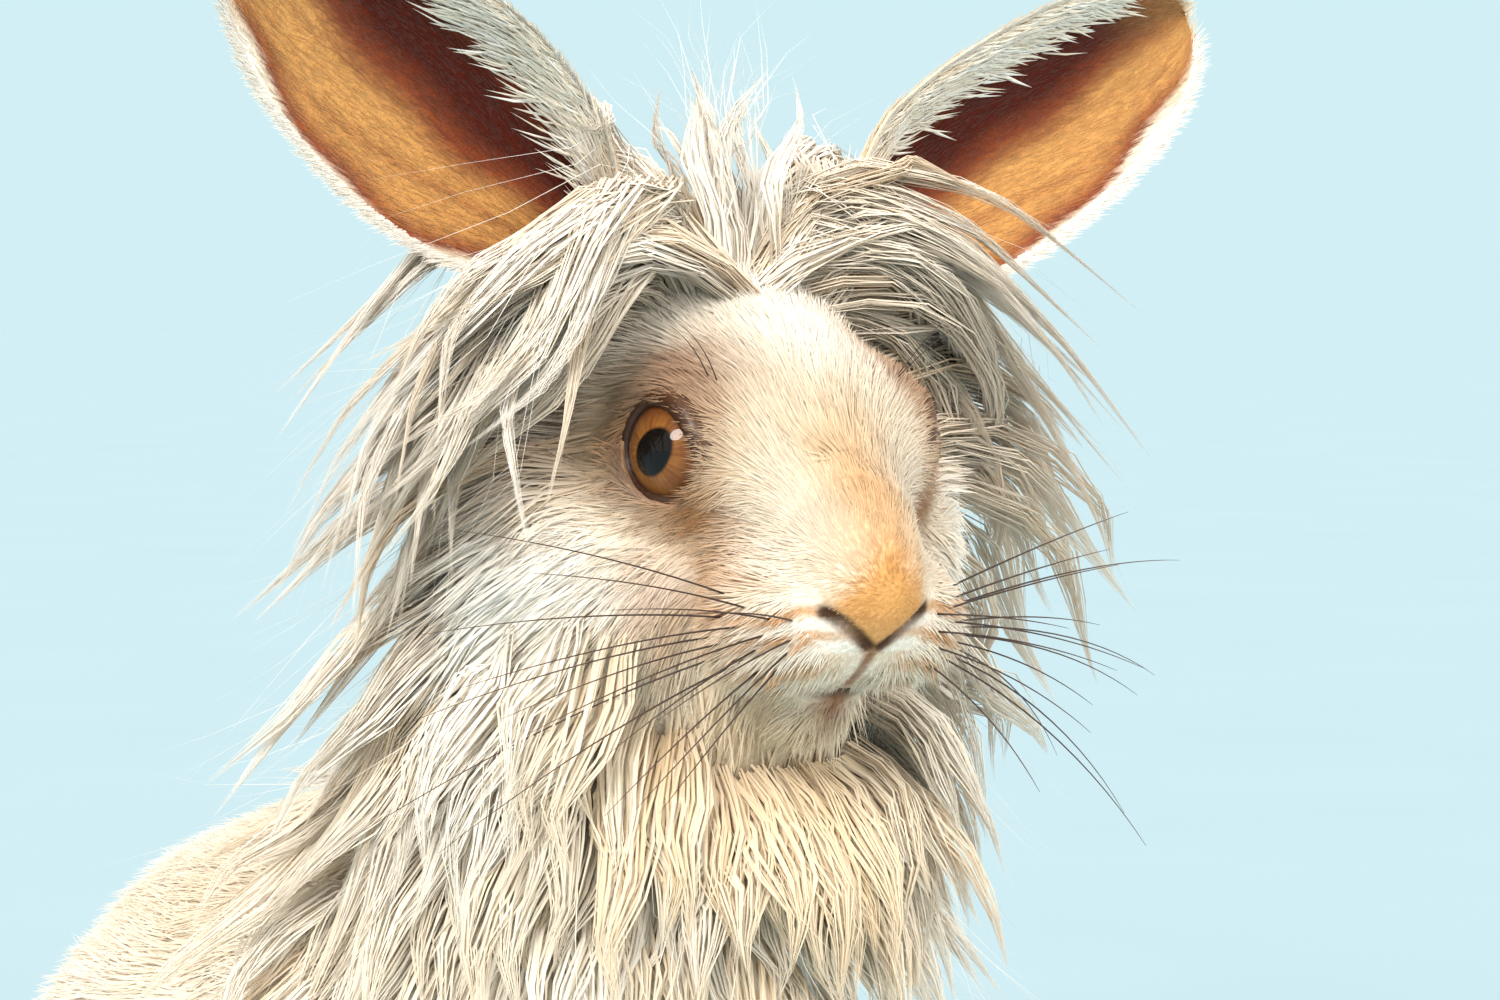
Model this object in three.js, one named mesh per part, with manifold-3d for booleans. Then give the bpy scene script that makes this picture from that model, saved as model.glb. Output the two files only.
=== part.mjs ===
// A lionhead rabbit at life size, sitting alert, its head raised and turned a little to its right.
// Millimetres, +Z up. The rabbit looks along -Y, so its own left is +X. The floor is z = 0, and the
// group is moved at the end so that the origin lies on the floor under the middle of the animal.
// Every rounded form is the surface of a blended distance: each muscle or bone is an ellipsoid or a
// tapered rod, and rays from a line inside the form find where the blend reaches the coat.

import * as THREE from "three";
import { mergeVertices } from "three/addons/utils/BufferGeometryUtils.js";
import Module from "manifold-3d";

const wasm = await Module();
wasm.setup();

// Driving dimensions

const DEGREE = Math.PI / 180;
const GAP = 0.36; // what touching pieces keep between them
const WELD = 0.005; // vertices of a finished piece that are nearer than this are one

const TORSO = {
  path: [[0, 52, 56], [0, 28, 62], [0, 0, 70], [0, -32, 76]],
  blend: 14,
  forms: [
    { name: "rump", centre: [0, 42, 57], radii: [50, 50, 53] },
    { name: "loin", centre: [0, 14, 67], radii: [45, 46, 51] },
    { name: "ribs", centre: [0, -14, 71], radii: [40, 42, 46] },
    { name: "chest", centre: [0, -38, 74], radii: [36, 31, 43] },
  ],
};

const HIND_LEG = {
  path: [[33, 60, 52], [36, 30, 42]],
  blend: 10,
  haunch: { centre: [34, 40, 48], radii: [25, 40, 41] },
  shin: { from: [38, 20, 22], to: [38, 66, 18], fromRadius: 13, toRadius: 11.5 },
};
const HIND_FOOT = {
  heel: { at: [38, 70, 9.2], radius: 10 },
  ball: { at: [42, 16, 8.8], radius: 10 },
  toes: {
    length: 17,
    radius: 5.3,
    droop: 0.08,
    spread: [-8, -2.8, 2.8, 7.8],
    reach: [0.78, 1, 0.96, 0.74], // each toe's length as a share
  },
};
const FORELEG = {
  path: [[25, -36, 64], [25, -42, 44], [19.5, -56, 20]],
  blend: 10,
  shoulder: { at: [24, -34, 68], radius: 21 },
  elbow: { at: [25, -40, 46], radius: 16.5 },
  wrist: { at: [19, -57, 18], radius: 11.5 },
};
const FORE_PAW = {
  heel: { at: [18.5, -56, 8.2], radius: 9 },
  ball: { at: [18, -71, 7.6], radius: 8.4 },
  toes: {
    length: 11.5,
    radius: 4.2,
    droop: 0.1,
    spread: [-6.4, -2.3, 2.2, 6],
    reach: [0.8, 1, 0.96, 0.72],
  },
};
const TOE = { height: 1.35, fan: 0.03, taper: 0.8 }; // shared by all: height in toe radii
const CLAW = { length: 8, radius: 1.3, sides: 5, steps: 3, droop: 0.35, sunk: 2.5 };
const TAIL = { root: [0, 86, 50], rootRadius: 12, tip: [0, 101, 62], tipRadius: 13 };

// The head in its own frame: the nose along -Y, the middle of the skull at zero.
const HEAD = {
  at: [0, -71, 168],
  pitch: 18 * DEGREE,
  turn: -13 * DEGREE,
  blend: 6,
  path: [[0, 18, 4], [0, -2, 1], [0, -18, -3], [0, -29.5, -6.5]],
  forms: [
    { name: "cranium", centre: [0, 12, 6], radii: [27, 27, 25] },
    { name: "brow", centre: [0, -6, 6], radii: [24, 24, 22] },
    { name: "bridge", from: [0, -6, 11.5], to: [0, -30, 3], fromRadius: 15.5, toRadius: 11.5 },
    { name: "muzzle", from: [0, -8, -4], to: [0, -28, -8], fromRadius: 21, toRadius: 14.5 },
    { name: "whisker_pad", centre: [9.2, -30.5, -10], radii: [11.4, 10.8, 11] },
    { name: "nose", centre: [0, -38.6, -1.5], radii: [7.6, 5.4, 7.4] },
    { name: "eye_bulge", centre: [17, -8, 9], radii: [8.8, 12, 12] },
    { name: "jowl", centre: [18.5, 2, -11], radii: [18.5, 22, 20] },
    { name: "chin", from: [0, -8, -22], to: [0, -27, -22.5], fromRadius: 13.5, toRadius: 9.5 },
    { name: "throat", centre: [0, 6, -20], radii: [21, 20, 15] },
  ],
};

// The mane. A lock is a flat tapered cone with a ridged back, bent along its lie. The rows on the
// head stand on rings round its length: ring is how far back, and angles go from the top of the
// head (0) down its side. The rows on the neck stand on rings round the neck: ring is the share
// of the neck's height, and angles go from the throat (0) round to the nape (180). Rise is how
// far a lock's tip stands off the body, and count is the number on each side.
const LOCK = {
  sides: 3,
  steps: 5,
  sunk: 3.4, // how deep the root lies under the coat
  thickness: 0.3, // as a share of its width
  thinnest: 0.6,
  layer: 3, // how much further out every second lock lies
  swing: 0.4, // how far it waves to the side in a step, as a share of the step
  waves: 5, // how far a wave runs over the length, in radians
  lag: 0.5, // how far a neighbour's wave is ahead
  lengths: [0.86, 1.14], // shares that the draw picks from
  rises: [0.9, 1.1],
  settle: 0.4, // how much of its height over the rise a point drops
  earRoom: 4.5, // how far the locks keep off the middle of an ear's root
  edgeRoom: 4.5, // how much further than its flat faces the thin edges of a lock move out,
  ridgeRoom: 2, // and its ridge, where others leave it room
  seed: 20,
};
const HEAD_ROWS = [
  {
    name: "cheek_front",
    lie: "cheek",
    ring: [-4, -4],
    angles: [96, 156],
    count: 3,
    length: 25,
    width: 7.4,
    rise: 6,
  },
  {
    name: "cheek",
    lie: "cheek",
    ring: [7, 6],
    angles: [56, 164],
    count: 5,
    length: 40,
    width: 9,
    rise: 11,
  },
  {
    name: "ruff",
    lie: "cheek",
    ring: [17, 17],
    angles: [48, 168],
    count: 5,
    length: 54,
    width: 11,
    rise: 18,
  },
  {
    name: "temple",
    lie: "crown",
    ring: [3, 20],
    angles: [26, 36],
    count: 4,
    length: 58,
    width: 8.4,
    rise: 25,
  },
  {
    name: "crown",
    lie: "crown",
    ring: [-2, 20],
    angles: [7, 10],
    count: 5,
    length: 76,
    width: 8,
    rise: 32,
  },
  {
    name: "wisps",
    lie: "wisp",
    ring: [4, 17],
    angles: [3, 7],
    count: 2,
    length: 25,
    width: 3,
    rise: 26,
  },
  {
    name: "poll",
    lie: "nape",
    ring: [29, 29],
    angles: [0, 66],
    count: 3,
    length: 50,
    width: 9.6,
    rise: 13,
  },
];
const NECK_CORE = { low: [0, -34, 96], lowRadius: 36, high: [0, -56, 140], highRadius: 31 };
const NECK_ROWS = [
  {
    name: "collar_top",
    lie: "collar",
    ring: [1.15, 1.15],
    angles: [30, 180],
    count: 5,
    length: 46,
    width: 9.6,
    rise: 22,
  },
  {
    name: "collar_high",
    lie: "collar",
    ring: [0.86, 0.86],
    angles: [0, 180],
    count: 7,
    length: 50,
    width: 10.6,
    rise: 21,
  },
  {
    name: "collar",
    lie: "collar",
    ring: [0.5, 0.5],
    angles: [0, 180],
    count: 7,
    length: 52,
    width: 11,
    rise: 19,
  },
  {
    name: "bib",
    lie: "collar",
    ring: [0.12, 0.12],
    angles: [0, 180],
    count: 7,
    length: 50,
    width: 10.6,
    rise: 15,
  },
];

// Facets of each rounded form: round its path, along it, and round each end.
const FACETS = {
  torso: [22, 7, 4],
  neck: [20, 3, 5],
  tail: [12, 1, 3],
  head: [32, 12, 7],
  headRoom: [18, 8, 5], // what fits round the head is cut by this coarser form,
  hindLeg: [16, 3, 4],
  foreleg: [12, 6, 3],
  sole: [9, 1, 2],
  toe: [6, 1, 2],
};
const HEAD_ROOM = 1.3; // which is let out so that its flat faces still clear the finer one

const EYE = {
  centre: [16, -9, 9],
  radius: 9.2,
  look: [0.9, -0.4, 0.12], // out of the side of the head, a little forwards and up
  opening: [7.8, 6.9], // half the slit's length and half its height
  slope: 16 * DEGREE, // the inner corner lies lower
  lidRadius: 1.3,
  steps: 18, // corners of the lids' edge
};

// The mouth's line and the nostrils are grooves. Each is a row of points found on the skin by
// rays from inside the muzzle; angles turn to the side, and drops are the rays' downward slopes.
const MOUTH = { from: [0, -20, -11], angles: [-62, 62], drops: [0.78, 0.56], count: 8, radius: 1.3 };
const PHILTRUM = { from: [0, -27, -8], drops: [0.22, 0.92], radius: 1 };
const NOSTRIL = { from: [0, -32, -2], angles: [44, 7], drops: [0.2, 0.72], radius: 1.1 };

const EAR = {
  length: 86,
  rootDepth: 8,
  halfGirth: [12, 22.5], // half the width along the skin, at the base and at the widest
  roll: [150 * DEGREE, 52 * DEGREE], // half the arc of the cup, at the base and above it
  thickness: 2.3,
  widest: 0.5, // the share of the length above which it narrows to its round tip
  bow: 5, // how far the middle bends back
  facets: [8, 12], // across and along
  root: { reach: 30, lowRadius: 8.5, highRadius: 13 }, // the part that the mane lies on
  left: { at: [13, 22, 24], along: [0.84, 0.06, 0.54], open: [0.05, -0.94, 0.1] },
  right: { at: [-13, 22, 24], along: [-0.78, 0.1, 0.62], open: [-0.3, -0.95, -0.15] },
};

// Colours of the coat and the bare parts

const FINISH = {
  white: { color: 0xf3ead8, roughness: 0.95, metalness: 0 },
  fawn: { color: 0xdcb987, roughness: 0.95, metalness: 0 },
  eye: { color: 0x5a3016, roughness: 0.08, metalness: 0 },
  claw: { color: 0x7c6a55, roughness: 0.45, metalness: 0 },
};

// Vectors and steps

const vector = (point) => new THREE.Vector3(...point);
const flip = ([x, y, z], side) => [x * side, y, z];
const mix = (a, b, share) => a + (b - a) * share;
const smooth = (low, high, x) => THREE.MathUtils.smoothstep(x, low, high);

// Distances from the coat, below zero inside it

/** The two distances joined, with a fillet of about k where they are close. */
function blended(a, b, k) {
  const near = Math.max(k - Math.abs(a - b), 0) / k;
  return Math.min(a, b) - near * near * k * 0.25;
}

/** The distance from an ellipsoid. */
function ellipsoid(centre, radii) {
  const middle = vector(centre);
  const size = vector(radii);
  return (point) => {
    const scaled = point.clone().sub(middle).divide(size);
    const length = scaled.length();
    const slope = scaled.divide(size).length();
    return slope < 1e-9 ? -size.x : (length * (length - 1)) / slope;
  };
}

/** The distance from a rod with round ends, its radius running from one end to the other. */
function rod(from, fromRadius, to, toRadius) {
  const start = vector(from);
  const run = vector(to).sub(start);
  const square = run.lengthSq();
  return (point) => {
    const share = THREE.MathUtils.clamp(point.clone().sub(start).dot(run) / square, 0, 1);
    const nearest = start.clone().addScaledVector(run, share);
    return point.distanceTo(nearest) - mix(fromRadius, toRadius, share);
  };
}

/** All the distances joined with one fillet. */
const together = (fields, k) => (point) =>
  fields.map((field) => field(point)).reduce((a, b) => blended(a, b, k));

/** A named form as a distance; one beside the middle plane stands on both sides of it. */
function formField(form, k) {
  if (form.from) return rod(form.from, form.fromRadius, form.to, form.toRadius);
  const one = ellipsoid(form.centre, form.radii);
  if (form.centre[0] === 0) return one;
  return (point) => blended(one(point), one(new THREE.Vector3(-point.x, point.y, point.z)), k);
}

// Solids

/** A geometry with nothing but its places, its shared vertices merged. */
function welded(geometry) {
  const bare = new THREE.BufferGeometry();
  bare.setAttribute("position", geometry.attributes.position);
  if (geometry.index) bare.setIndex(geometry.index);
  return mergeVertices(bare, 1e-5);
}

/** A closed welded geometry as a solid, turned right side out if a mirrored warp turned it. */
function solidOf(geometry) {
  const vertProperties = new Float32Array(geometry.attributes.position.array);
  const triVerts = new Uint32Array(geometry.index.array);
  const solid = new wasm.Manifold(new wasm.Mesh({ numProp: 3, vertProperties, triVerts }));
  if (solid.volume() > 0) return solid;
  return new wasm.Manifold(
    new wasm.Mesh({ numProp: 3, vertProperties, triVerts: triVerts.reverse() }),
  );
}

/** Moves every vertex of a welded geometry to where the function puts it. */
function warped(geometry, move) {
  const places = geometry.attributes.position;
  for (let i = 0; i < places.count; i += 1) {
    const found = move(new THREE.Vector3().fromBufferAttribute(places, i));
    places.setXYZ(i, found.x, found.y, found.z);
  }
  return geometry;
}

/** The largest closed body of a solid. */
const largest = (solid) =>
  solid.decompose().reduce((best, body) => (body.volume() > best.volume() ? body : best));

const join = (solids) => solids.reduce((all, solid) => all.add(solid));
const cut = (solid, cutters) => cutters.reduce((rest, cutter) => rest.subtract(cutter), solid);

/** How far from start along direction the field first reaches level. */
function reachOf(field, start, direction, level) {
  const step = 1.5;
  const at = (distance) => field(start.clone().addScaledVector(direction, distance)) - level;
  let far = step;
  while (at(far) < 0 && far < 200) far += step;
  let near = far - step;
  for (let i = 0; i < 14; i += 1) {
    const middle = (near + far) / 2;
    if (at(middle) < 0) near = middle;
    else far = middle;
  }
  return (near + far) / 2;
}

/**
 * A closed form round a path. The vertices of a capsule give the rays: each starts on the path
 * and runs out square to it, or fans out round the path's ends, until the field reaches level.
 */
function formAround(path, field, [around, along, cap], level = 0) {
  const curve = new THREE.CatmullRomCurve3(path.map(vector));
  const side = new THREE.Vector3(1, 0, 0);
  const capsule = welded(new THREE.CapsuleGeometry(1, 2, cap, around, along));
  const outwards = (ray) => {
    const height = THREE.MathUtils.clamp(ray.y, -1, 1);
    const share = (height + 1) / 2;
    const start = curve.getPointAt(share);
    const ahead = curve.getTangentAt(share);
    const up = new THREE.Vector3().crossVectors(side, ahead).normalize();
    const across = new THREE.Vector3().crossVectors(ahead, up).normalize();
    const direction = new THREE.Vector3()
      .addScaledVector(across, ray.x)
      .addScaledVector(ahead, ray.y - height)
      .addScaledVector(up, ray.z)
      .normalize();
    return start.addScaledVector(direction, reachOf(field, start, direction, level));
  };
  return solidOf(warped(capsule, outwards));
}

/**
 * A closed thin wall between two sheets, which are split into triangles alike and joined round
 * their rims. Each sheet is a function of (u, v), both from 0 to 1.
 */
function wallBetween(outer, inner, uSteps, vSteps) {
  const places = [];
  for (const sheet of [outer, inner]) {
    for (let i = 0; i <= uSteps; i += 1) {
      for (let j = 0; j <= vSteps; j += 1) places.push(...sheet(i / uSteps, j / vSteps).toArray());
    }
  }
  const offset = (uSteps + 1) * (vSteps + 1);
  const at = (i, j) => i * (vSteps + 1) + j;
  const index = [];
  const square = (a, b, c, d) => index.push(a, b, c, a, c, d);
  for (let i = 0; i < uSteps; i += 1) {
    for (let j = 0; j < vSteps; j += 1) {
      const [a, b, c, d] = [at(i, j), at(i + 1, j), at(i + 1, j + 1), at(i, j + 1)];
      square(a, b, c, d);
      index.push(offset + a, offset + c, offset + b, offset + a, offset + d, offset + c);
    }
    square(at(i + 1, 0), at(i, 0), offset + at(i, 0), offset + at(i + 1, 0));
    square(at(i, vSteps), at(i + 1, vSteps), offset + at(i + 1, vSteps), offset + at(i, vSteps));
  }
  for (let j = 0; j < vSteps; j += 1) {
    square(at(0, j), at(0, j + 1), offset + at(0, j + 1), offset + at(0, j));
    square(at(uSteps, j + 1), at(uSteps, j), offset + at(uSteps, j), offset + at(uSteps, j + 1));
  }
  const geometry = new THREE.BufferGeometry();
  geometry.setAttribute("position", new THREE.Float32BufferAttribute(places, 3));
  geometry.setIndex(index);
  return solidOf(geometry);
}

/**
 * A flat-sided cone bent along a row of points. At each point, flats gives the direction out of
 * the cone's flat face, and width and thickness give its half sizes from share 0 to the tip at 1.
 */
function bentCone(points, flats, sides, width, thickness) {
  const steps = points.length - 1;
  const cone = welded(new THREE.ConeGeometry(1, 1, sides, steps));
  const bend = (place) => {
    const share = place.y + 0.5;
    const step = Math.round(share * steps);
    const ahead = points[Math.min(step + 1, steps)].clone().sub(points[Math.max(step - 1, 0)]);
    const across = new THREE.Vector3().crossVectors(ahead, flats[step]).normalize();
    const face = new THREE.Vector3().crossVectors(across, ahead).normalize();
    const spread = Math.hypot(place.x, place.z);
    const unit = spread > 1e-6 ? 1 / spread : 0;
    return points[step]
      .clone()
      .addScaledVector(across, place.x * unit * width(share))
      .addScaledVector(face, place.z * unit * thickness(share));
  };
  return solidOf(warped(cone, bend));
}

/** Everything under the floor, to cut flat soles. */
const underFloor = solidOf(welded(new THREE.BoxGeometry(400, 400, 40)).translate(0, 0, -20));

// The head's own frame

const headPlace = new THREE.Matrix4()
  .makeRotationFromEuler(new THREE.Euler(HEAD.pitch, 0, HEAD.turn, "ZYX"))
  .setPosition(...HEAD.at);
const headInverse = headPlace.clone().invert();
const onHead = (solid) => solid.transform(headPlace.elements.slice());

// Trunk

const torsoField = together(TORSO.forms.map((form) => formField(form, TORSO.blend)), TORSO.blend);
const torsoForm = (level) => formAround(TORSO.path, torsoField, FACETS.torso, level);
const { low, lowRadius, high, highRadius } = NECK_CORE;
const neckField = rod(low, lowRadius, high, highRadius);
const neckForm = (level) => formAround([low, high], neckField, FACETS.neck, level);
const tailField = rod(TAIL.root, TAIL.rootRadius, TAIL.tip, TAIL.tipRadius);

// Head

const faceFields = HEAD.forms.map((form) => formField(form, HEAD.blend));
const faceField = together(faceFields, HEAD.blend);
const headForm = (detail, level) => onHead(formAround(HEAD.path, faceField, detail, level));
const headField = (point) => faceField(point.clone().applyMatrix4(headInverse));

/** The ball of one eye, in the head's frame. */
function eyeBall(side, grow = 0) {
  const ball = new THREE.IcosahedronGeometry(EYE.radius + grow, 2);
  return solidOf(welded(ball).translate(...flip(EYE.centre, side)));
}

/**
 * The frame of one eye's opening: out of the ball, along the slit towards the nose, and up
 * across it.
 */
function eyeFrame(side) {
  const out = vector(flip(EYE.look, side)).normalize();
  const forward = new THREE.Vector3(0, -1, -Math.tan(EYE.slope));
  const along = forward.addScaledVector(out, -forward.dot(out)).normalize();
  const up = new THREE.Vector3().crossVectors(out, along).normalize();
  if (up.z < 0) up.negate();
  return { out, along, up };
}

/** A point of the opening's edge, on a shell of the given radius round the ball's centre. */
function lidPoint(side, angle, radius, spare = 0) {
  const { out, along, up } = eyeFrame(side);
  const a = (EYE.opening[0] + spare) * Math.cos(angle);
  const b = (EYE.opening[1] + spare) * Math.sin(angle) * (1 - 0.16 * Math.cos(angle));
  const depth = Math.sqrt(Math.max(radius * radius - a * a - b * b, 0.5));
  return vector(flip(EYE.centre, side))
    .addScaledVector(along, a)
    .addScaledVector(up, b)
    .addScaledVector(out, depth);
}

/** The space in front of one eye, which parts the lids. */
function eyeOpening(side) {
  const { steps } = EYE;
  const { out } = eyeFrame(side);
  const places = [];
  const index = [];
  const back = vector(flip(EYE.centre, side)).addScaledVector(out, 2);
  const front = vector(flip(EYE.centre, side)).addScaledVector(out, 30);
  for (let i = 0; i < steps; i += 1) {
    const angle = (i / steps) * 2 * Math.PI;
    const edge = lidPoint(side, angle, EYE.radius);
    const flare = lidPoint(side, angle, EYE.radius, 3.5).addScaledVector(out, 14);
    places.push(...edge.toArray(), ...flare.toArray());
    const [a, b] = [2 * i, 2 * ((i + 1) % steps)];
    index.push(a, b, a + 1, b, b + 1, a + 1);
    index.push(a, 2 * steps, b, a + 1, b + 1, 2 * steps + 1);
  }
  places.push(...back.toArray(), ...front.toArray());
  const geometry = new THREE.BufferGeometry();
  geometry.setAttribute("position", new THREE.Float32BufferAttribute(places, 3));
  geometry.setIndex(index);
  return solidOf(geometry);
}

/** The rim of both lids, a ring that hugs the ball. */
function lidRing(side) {
  const ring = welded(new THREE.TorusGeometry(1, 0.5, 5, EYE.steps));
  const centre = vector(flip(EYE.centre, side));
  const hug = (place) => {
    const angle = Math.atan2(place.y, place.x);
    const edge = lidPoint(side, angle, EYE.radius + 0.3);
    const out = edge.clone().sub(centre).normalize();
    const away = lidPoint(side, angle, EYE.radius + 0.3, 1).sub(edge).normalize();
    const scale = 2 * EYE.lidRadius;
    return edge
      .addScaledVector(away, (Math.hypot(place.x, place.y) - 1) * scale + EYE.lidRadius * 0.8)
      .addScaledVector(out, place.z * scale);
  };
  return solidOf(warped(ring, hug));
}

/** Where a ray from inside the head, in the head's frame, comes out of its skin. */
function skinPoint(from, angle, drop) {
  const start = vector(from);
  const direction = new THREE.Vector3(Math.sin(angle), -Math.cos(angle), -drop).normalize();
  return start.addScaledVector(direction, reachOf(faceField, start, direction, 0));
}

/** A groove of round section along a row of points on the skin, thin at both ends. */
function groove(points, radius) {
  const curve = new THREE.CatmullRomCurve3(points);
  const rope = welded(new THREE.CapsuleGeometry(1, 2, 1, 4, points.length));
  const side = outward(faceField, points[0]);
  const along = (place) => {
    const share = (THREE.MathUtils.clamp(place.y, -1, 1) + 1) / 2;
    const middle = curve.getPointAt(share);
    const ahead = curve.getTangentAt(share);
    const across = new THREE.Vector3().crossVectors(ahead, side).normalize();
    const up = new THREE.Vector3().crossVectors(across, ahead).normalize();
    const size = radius * (0.45 + 0.55 * Math.sin(Math.PI * share));
    const end = place.y - THREE.MathUtils.clamp(place.y, -1, 1);
    return middle
      .addScaledVector(across, place.x * size)
      .addScaledVector(ahead, end * size)
      .addScaledVector(up, place.z * size);
  };
  return solidOf(warped(rope, along));
}

/** The grooves of the mouth, the cleft of the upper lip and the nostrils. */
function faceGrooves() {
  const row = ({ from, angles, drops, radius }, count, bend = (t) => t) => {
    const points = [];
    for (let i = 0; i < count; i += 1) {
      const share = i / (count - 1);
      const angle = mix(...angles, share) * DEGREE;
      points.push(skinPoint(from, angle, mix(...drops, bend(share))));
    }
    return groove(points, radius);
  };
  const mouth = row(MOUTH, MOUTH.count, (share) => Math.sin(Math.PI * share));
  const cleft = row({ ...PHILTRUM, angles: [0, 0] }, 3);
  const nostrils = [1, -1].map((side) =>
    row({ ...NOSTRIL, angles: NOSTRIL.angles.map((angle) => angle * side) }, 3),
  );
  return [mouth, cleft, ...nostrils];
}

/**
 * One ear: a sheet rolled into a tube at its base and opened into a cup above it. Let out, it is
 * thicker on both faces and a little wider, for the room that others leave it.
 */
function ear(name, grow = 0) {
  const { at, along, open } = EAR[name];
  const axis = vector(along).normalize();
  const face = vector(open);
  face.addScaledVector(axis, -face.dot(axis)).normalize();
  const across = new THREE.Vector3().crossVectors(face, axis);
  const start = vector(at).addScaledVector(axis, -EAR.rootDepth);
  const whole = EAR.length + EAR.rootDepth;
  const place = (u, step, inside) => {
    const v = mix(step, Math.sin((step * Math.PI) / 2), 0.7);
    const girth = mix(EAR.halfGirth[0], EAR.halfGirth[1], smooth(0, 0.55, v));
    const nearTip = Math.max(v - EAR.widest, 0) / (1 - EAR.widest);
    const half = girth * Math.max(Math.sqrt(1 - nearTip ** 2.4), 0.03) + grow;
    const roll = mix(EAR.roll[0], EAR.roll[1], smooth(0.04, 0.4, v));
    const radius = half / roll;
    const angle = (2 * u - 1) * roll;
    const thick = EAR.thickness * mix(1, 0.42, Math.abs(2 * u - 1) ** 3) * mix(1, 0.5, v);
    const bow = EAR.bow * Math.sin(Math.PI * v * 0.9);
    return start
      .clone()
      .addScaledVector(axis, v * whole)
      .addScaledVector(face, radius * (1 - Math.cos(angle)) - bow)
      .addScaledVector(across, radius * Math.sin(angle))
      .addScaledVector(across, -Math.sin(angle) * (inside ? thick + grow : -grow))
      .addScaledVector(face, Math.cos(angle) * (inside ? thick + grow : -grow));
  };
  return wallBetween((u, v) => place(u, v, false), (u, v) => place(u, v, true), ...EAR.facets);
}

// Locks

const UP = new THREE.Vector3(0, 0, 1);
const random = seeded(LOCK.seed);

/** Random numbers from 0 to 1 that are the same each time (Park and Miller's generator). */
function seeded(start) {
  let state = start;
  return () => {
    state = (state * 16807) % 2147483647;
    return state / 2147483647;
  };
}

/** The direction in which a distance grows fastest. */
function outward(field, point) {
  const step = 0.5;
  const slope = ["x", "y", "z"].map((axis) => {
    const ahead = point.clone();
    const behind = point.clone();
    ahead[axis] += step;
    behind[axis] -= step;
    return field(ahead) - field(behind);
  });
  return vector(slope).normalize();
}

/** The root of one ear, as a distance in the head's frame. */
function earRoot({ at, along }) {
  const { reach, lowRadius, highRadius } = EAR.root;
  const end = vector(at).addScaledVector(vector(along).normalize(), reach);
  return rod(at, lowRadius, end.toArray(), highRadius);
}

const earRoots = [earRoot(EAR.left), earRoot(EAR.right)];
const fromEars = (point) => {
  const inHead = point.clone().applyMatrix4(headInverse);
  return Math.min(...earRoots.map((field) => field(inHead)));
};

/** What the mane lies on: trunk, neck core and head. */
const underMane = (point) => Math.min(torsoField(point), neckField(point), headField(point));

/** The ways a lock can lie, each a direction at a place for a share of its length. */
const LIES = {
  cheek: ({ away, back }, share) => mixed([away, 0.5], [back, 0.12], [UP, -0.25 - 1.1 * share]),
  crown: ({ side, back }, share) =>
    mixed([side, 1 - smooth(0.35, 0.9, share)], [back, 0.28], [UP, 0.5 - 1.9 * smooth(0, 0.6, share)]),
  wisp: ({ side, back }, share) => mixed([UP, 1], [side, 0.5 * share - 0.1], [back, 0.1]),
  nape: ({ away, back }, share) => mixed([back, 0.3], [away, 0.3], [UP, -0.3 - 1.1 * share]),
  collar: ({ away, loft }, share) => mixed([away, 0.42 * loft], [UP, -0.55 - 0.7 * share]),
};

/** A direction mixed from weighted ones. */
function mixed(...weighted) {
  const sum = new THREE.Vector3();
  for (const [direction, weight] of weighted) sum.addScaledVector(direction, weight);
  return sum.normalize();
}

/**
 * One lock from its root: it follows its lie, waves from side to side and keeps off the body.
 * Neighbours wave together and lie in two layers, so that they overlap without crossing.
 */
function lock(root, ways, row, { layer, phase, chance }) {
  const stride = (row.length * mix(...LOCK.lengths, chance[0])) / LOCK.steps;
  const place = root.clone();
  const points = [root.clone().addScaledVector(outward(underMane, root), -LOCK.sunk)];
  const outs = [outward(underMane, root)];
  for (let step = 1; step <= LOCK.steps; step += 1) {
    const share = step / LOCK.steps;
    const lie = LIES[row.lie](ways, share);
    const across = new THREE.Vector3().crossVectors(lie, outward(underMane, place)).normalize();
    place.addScaledVector(lie, stride);
    const swing = LOCK.swing * Math.sin(phase + share * LOCK.waves);
    place.addScaledVector(across, stride * swing);
    const out = outward(underMane, place);
    const loft = row.rise * ways.loft * mix(...LOCK.rises, chance[1]);
    const short = loft * share ** 0.7 + layer * LOCK.layer - underMane(place);
    place.addScaledVector(out, short > 0 ? short : short * LOCK.settle);
    const crowded = Math.max(LOCK.earRoom + layer * LOCK.layer - fromEars(place), 0);
    place.addScaledVector(outward(fromEars, place), crowded);
    points.push(place.clone());
    outs.push(out);
  }
  eased(points);
  const flats = facings(points, outs, ways.back);
  const width = (share) => row.width * (1 - share) ** 0.55 * (0.72 + 0.75 * share);
  const thickness = (share) => Math.max(width(share) * LOCK.thickness, LOCK.thinnest) * (1 - share);
  return (grow) => {
    const longer = [...points];
    const last = longer.pop();
    const ahead = last.clone().sub(longer.at(-1)).normalize();
    longer.push(last.clone().addScaledVector(ahead, LOCK.edgeRoom * grow));
    const edges = (share) => width(share) + LOCK.edgeRoom * grow;
    const ridges = (share) => thickness(share) + LOCK.ridgeRoom * grow;
    return bentCone(longer, flats, LOCK.sides, edges, ridges);
  };
}

/** The way a lock faces at each of its points: out of the body, turning little from one to the next. */
function facings(points, outs, back) {
  let facing = mixed([outs[0], 1], [back, 0.3]);
  return points.map((point, i) => {
    const next = points[Math.min(i + 1, points.length - 1)];
    const ahead = next.clone().sub(points[Math.max(i - 1, 0)]).normalize();
    const turned = mixed([facing, 1], [outs[i], 0.6]);
    facing = turned.addScaledVector(ahead, -turned.dot(ahead)).normalize();
    return facing;
  });
}

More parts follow.
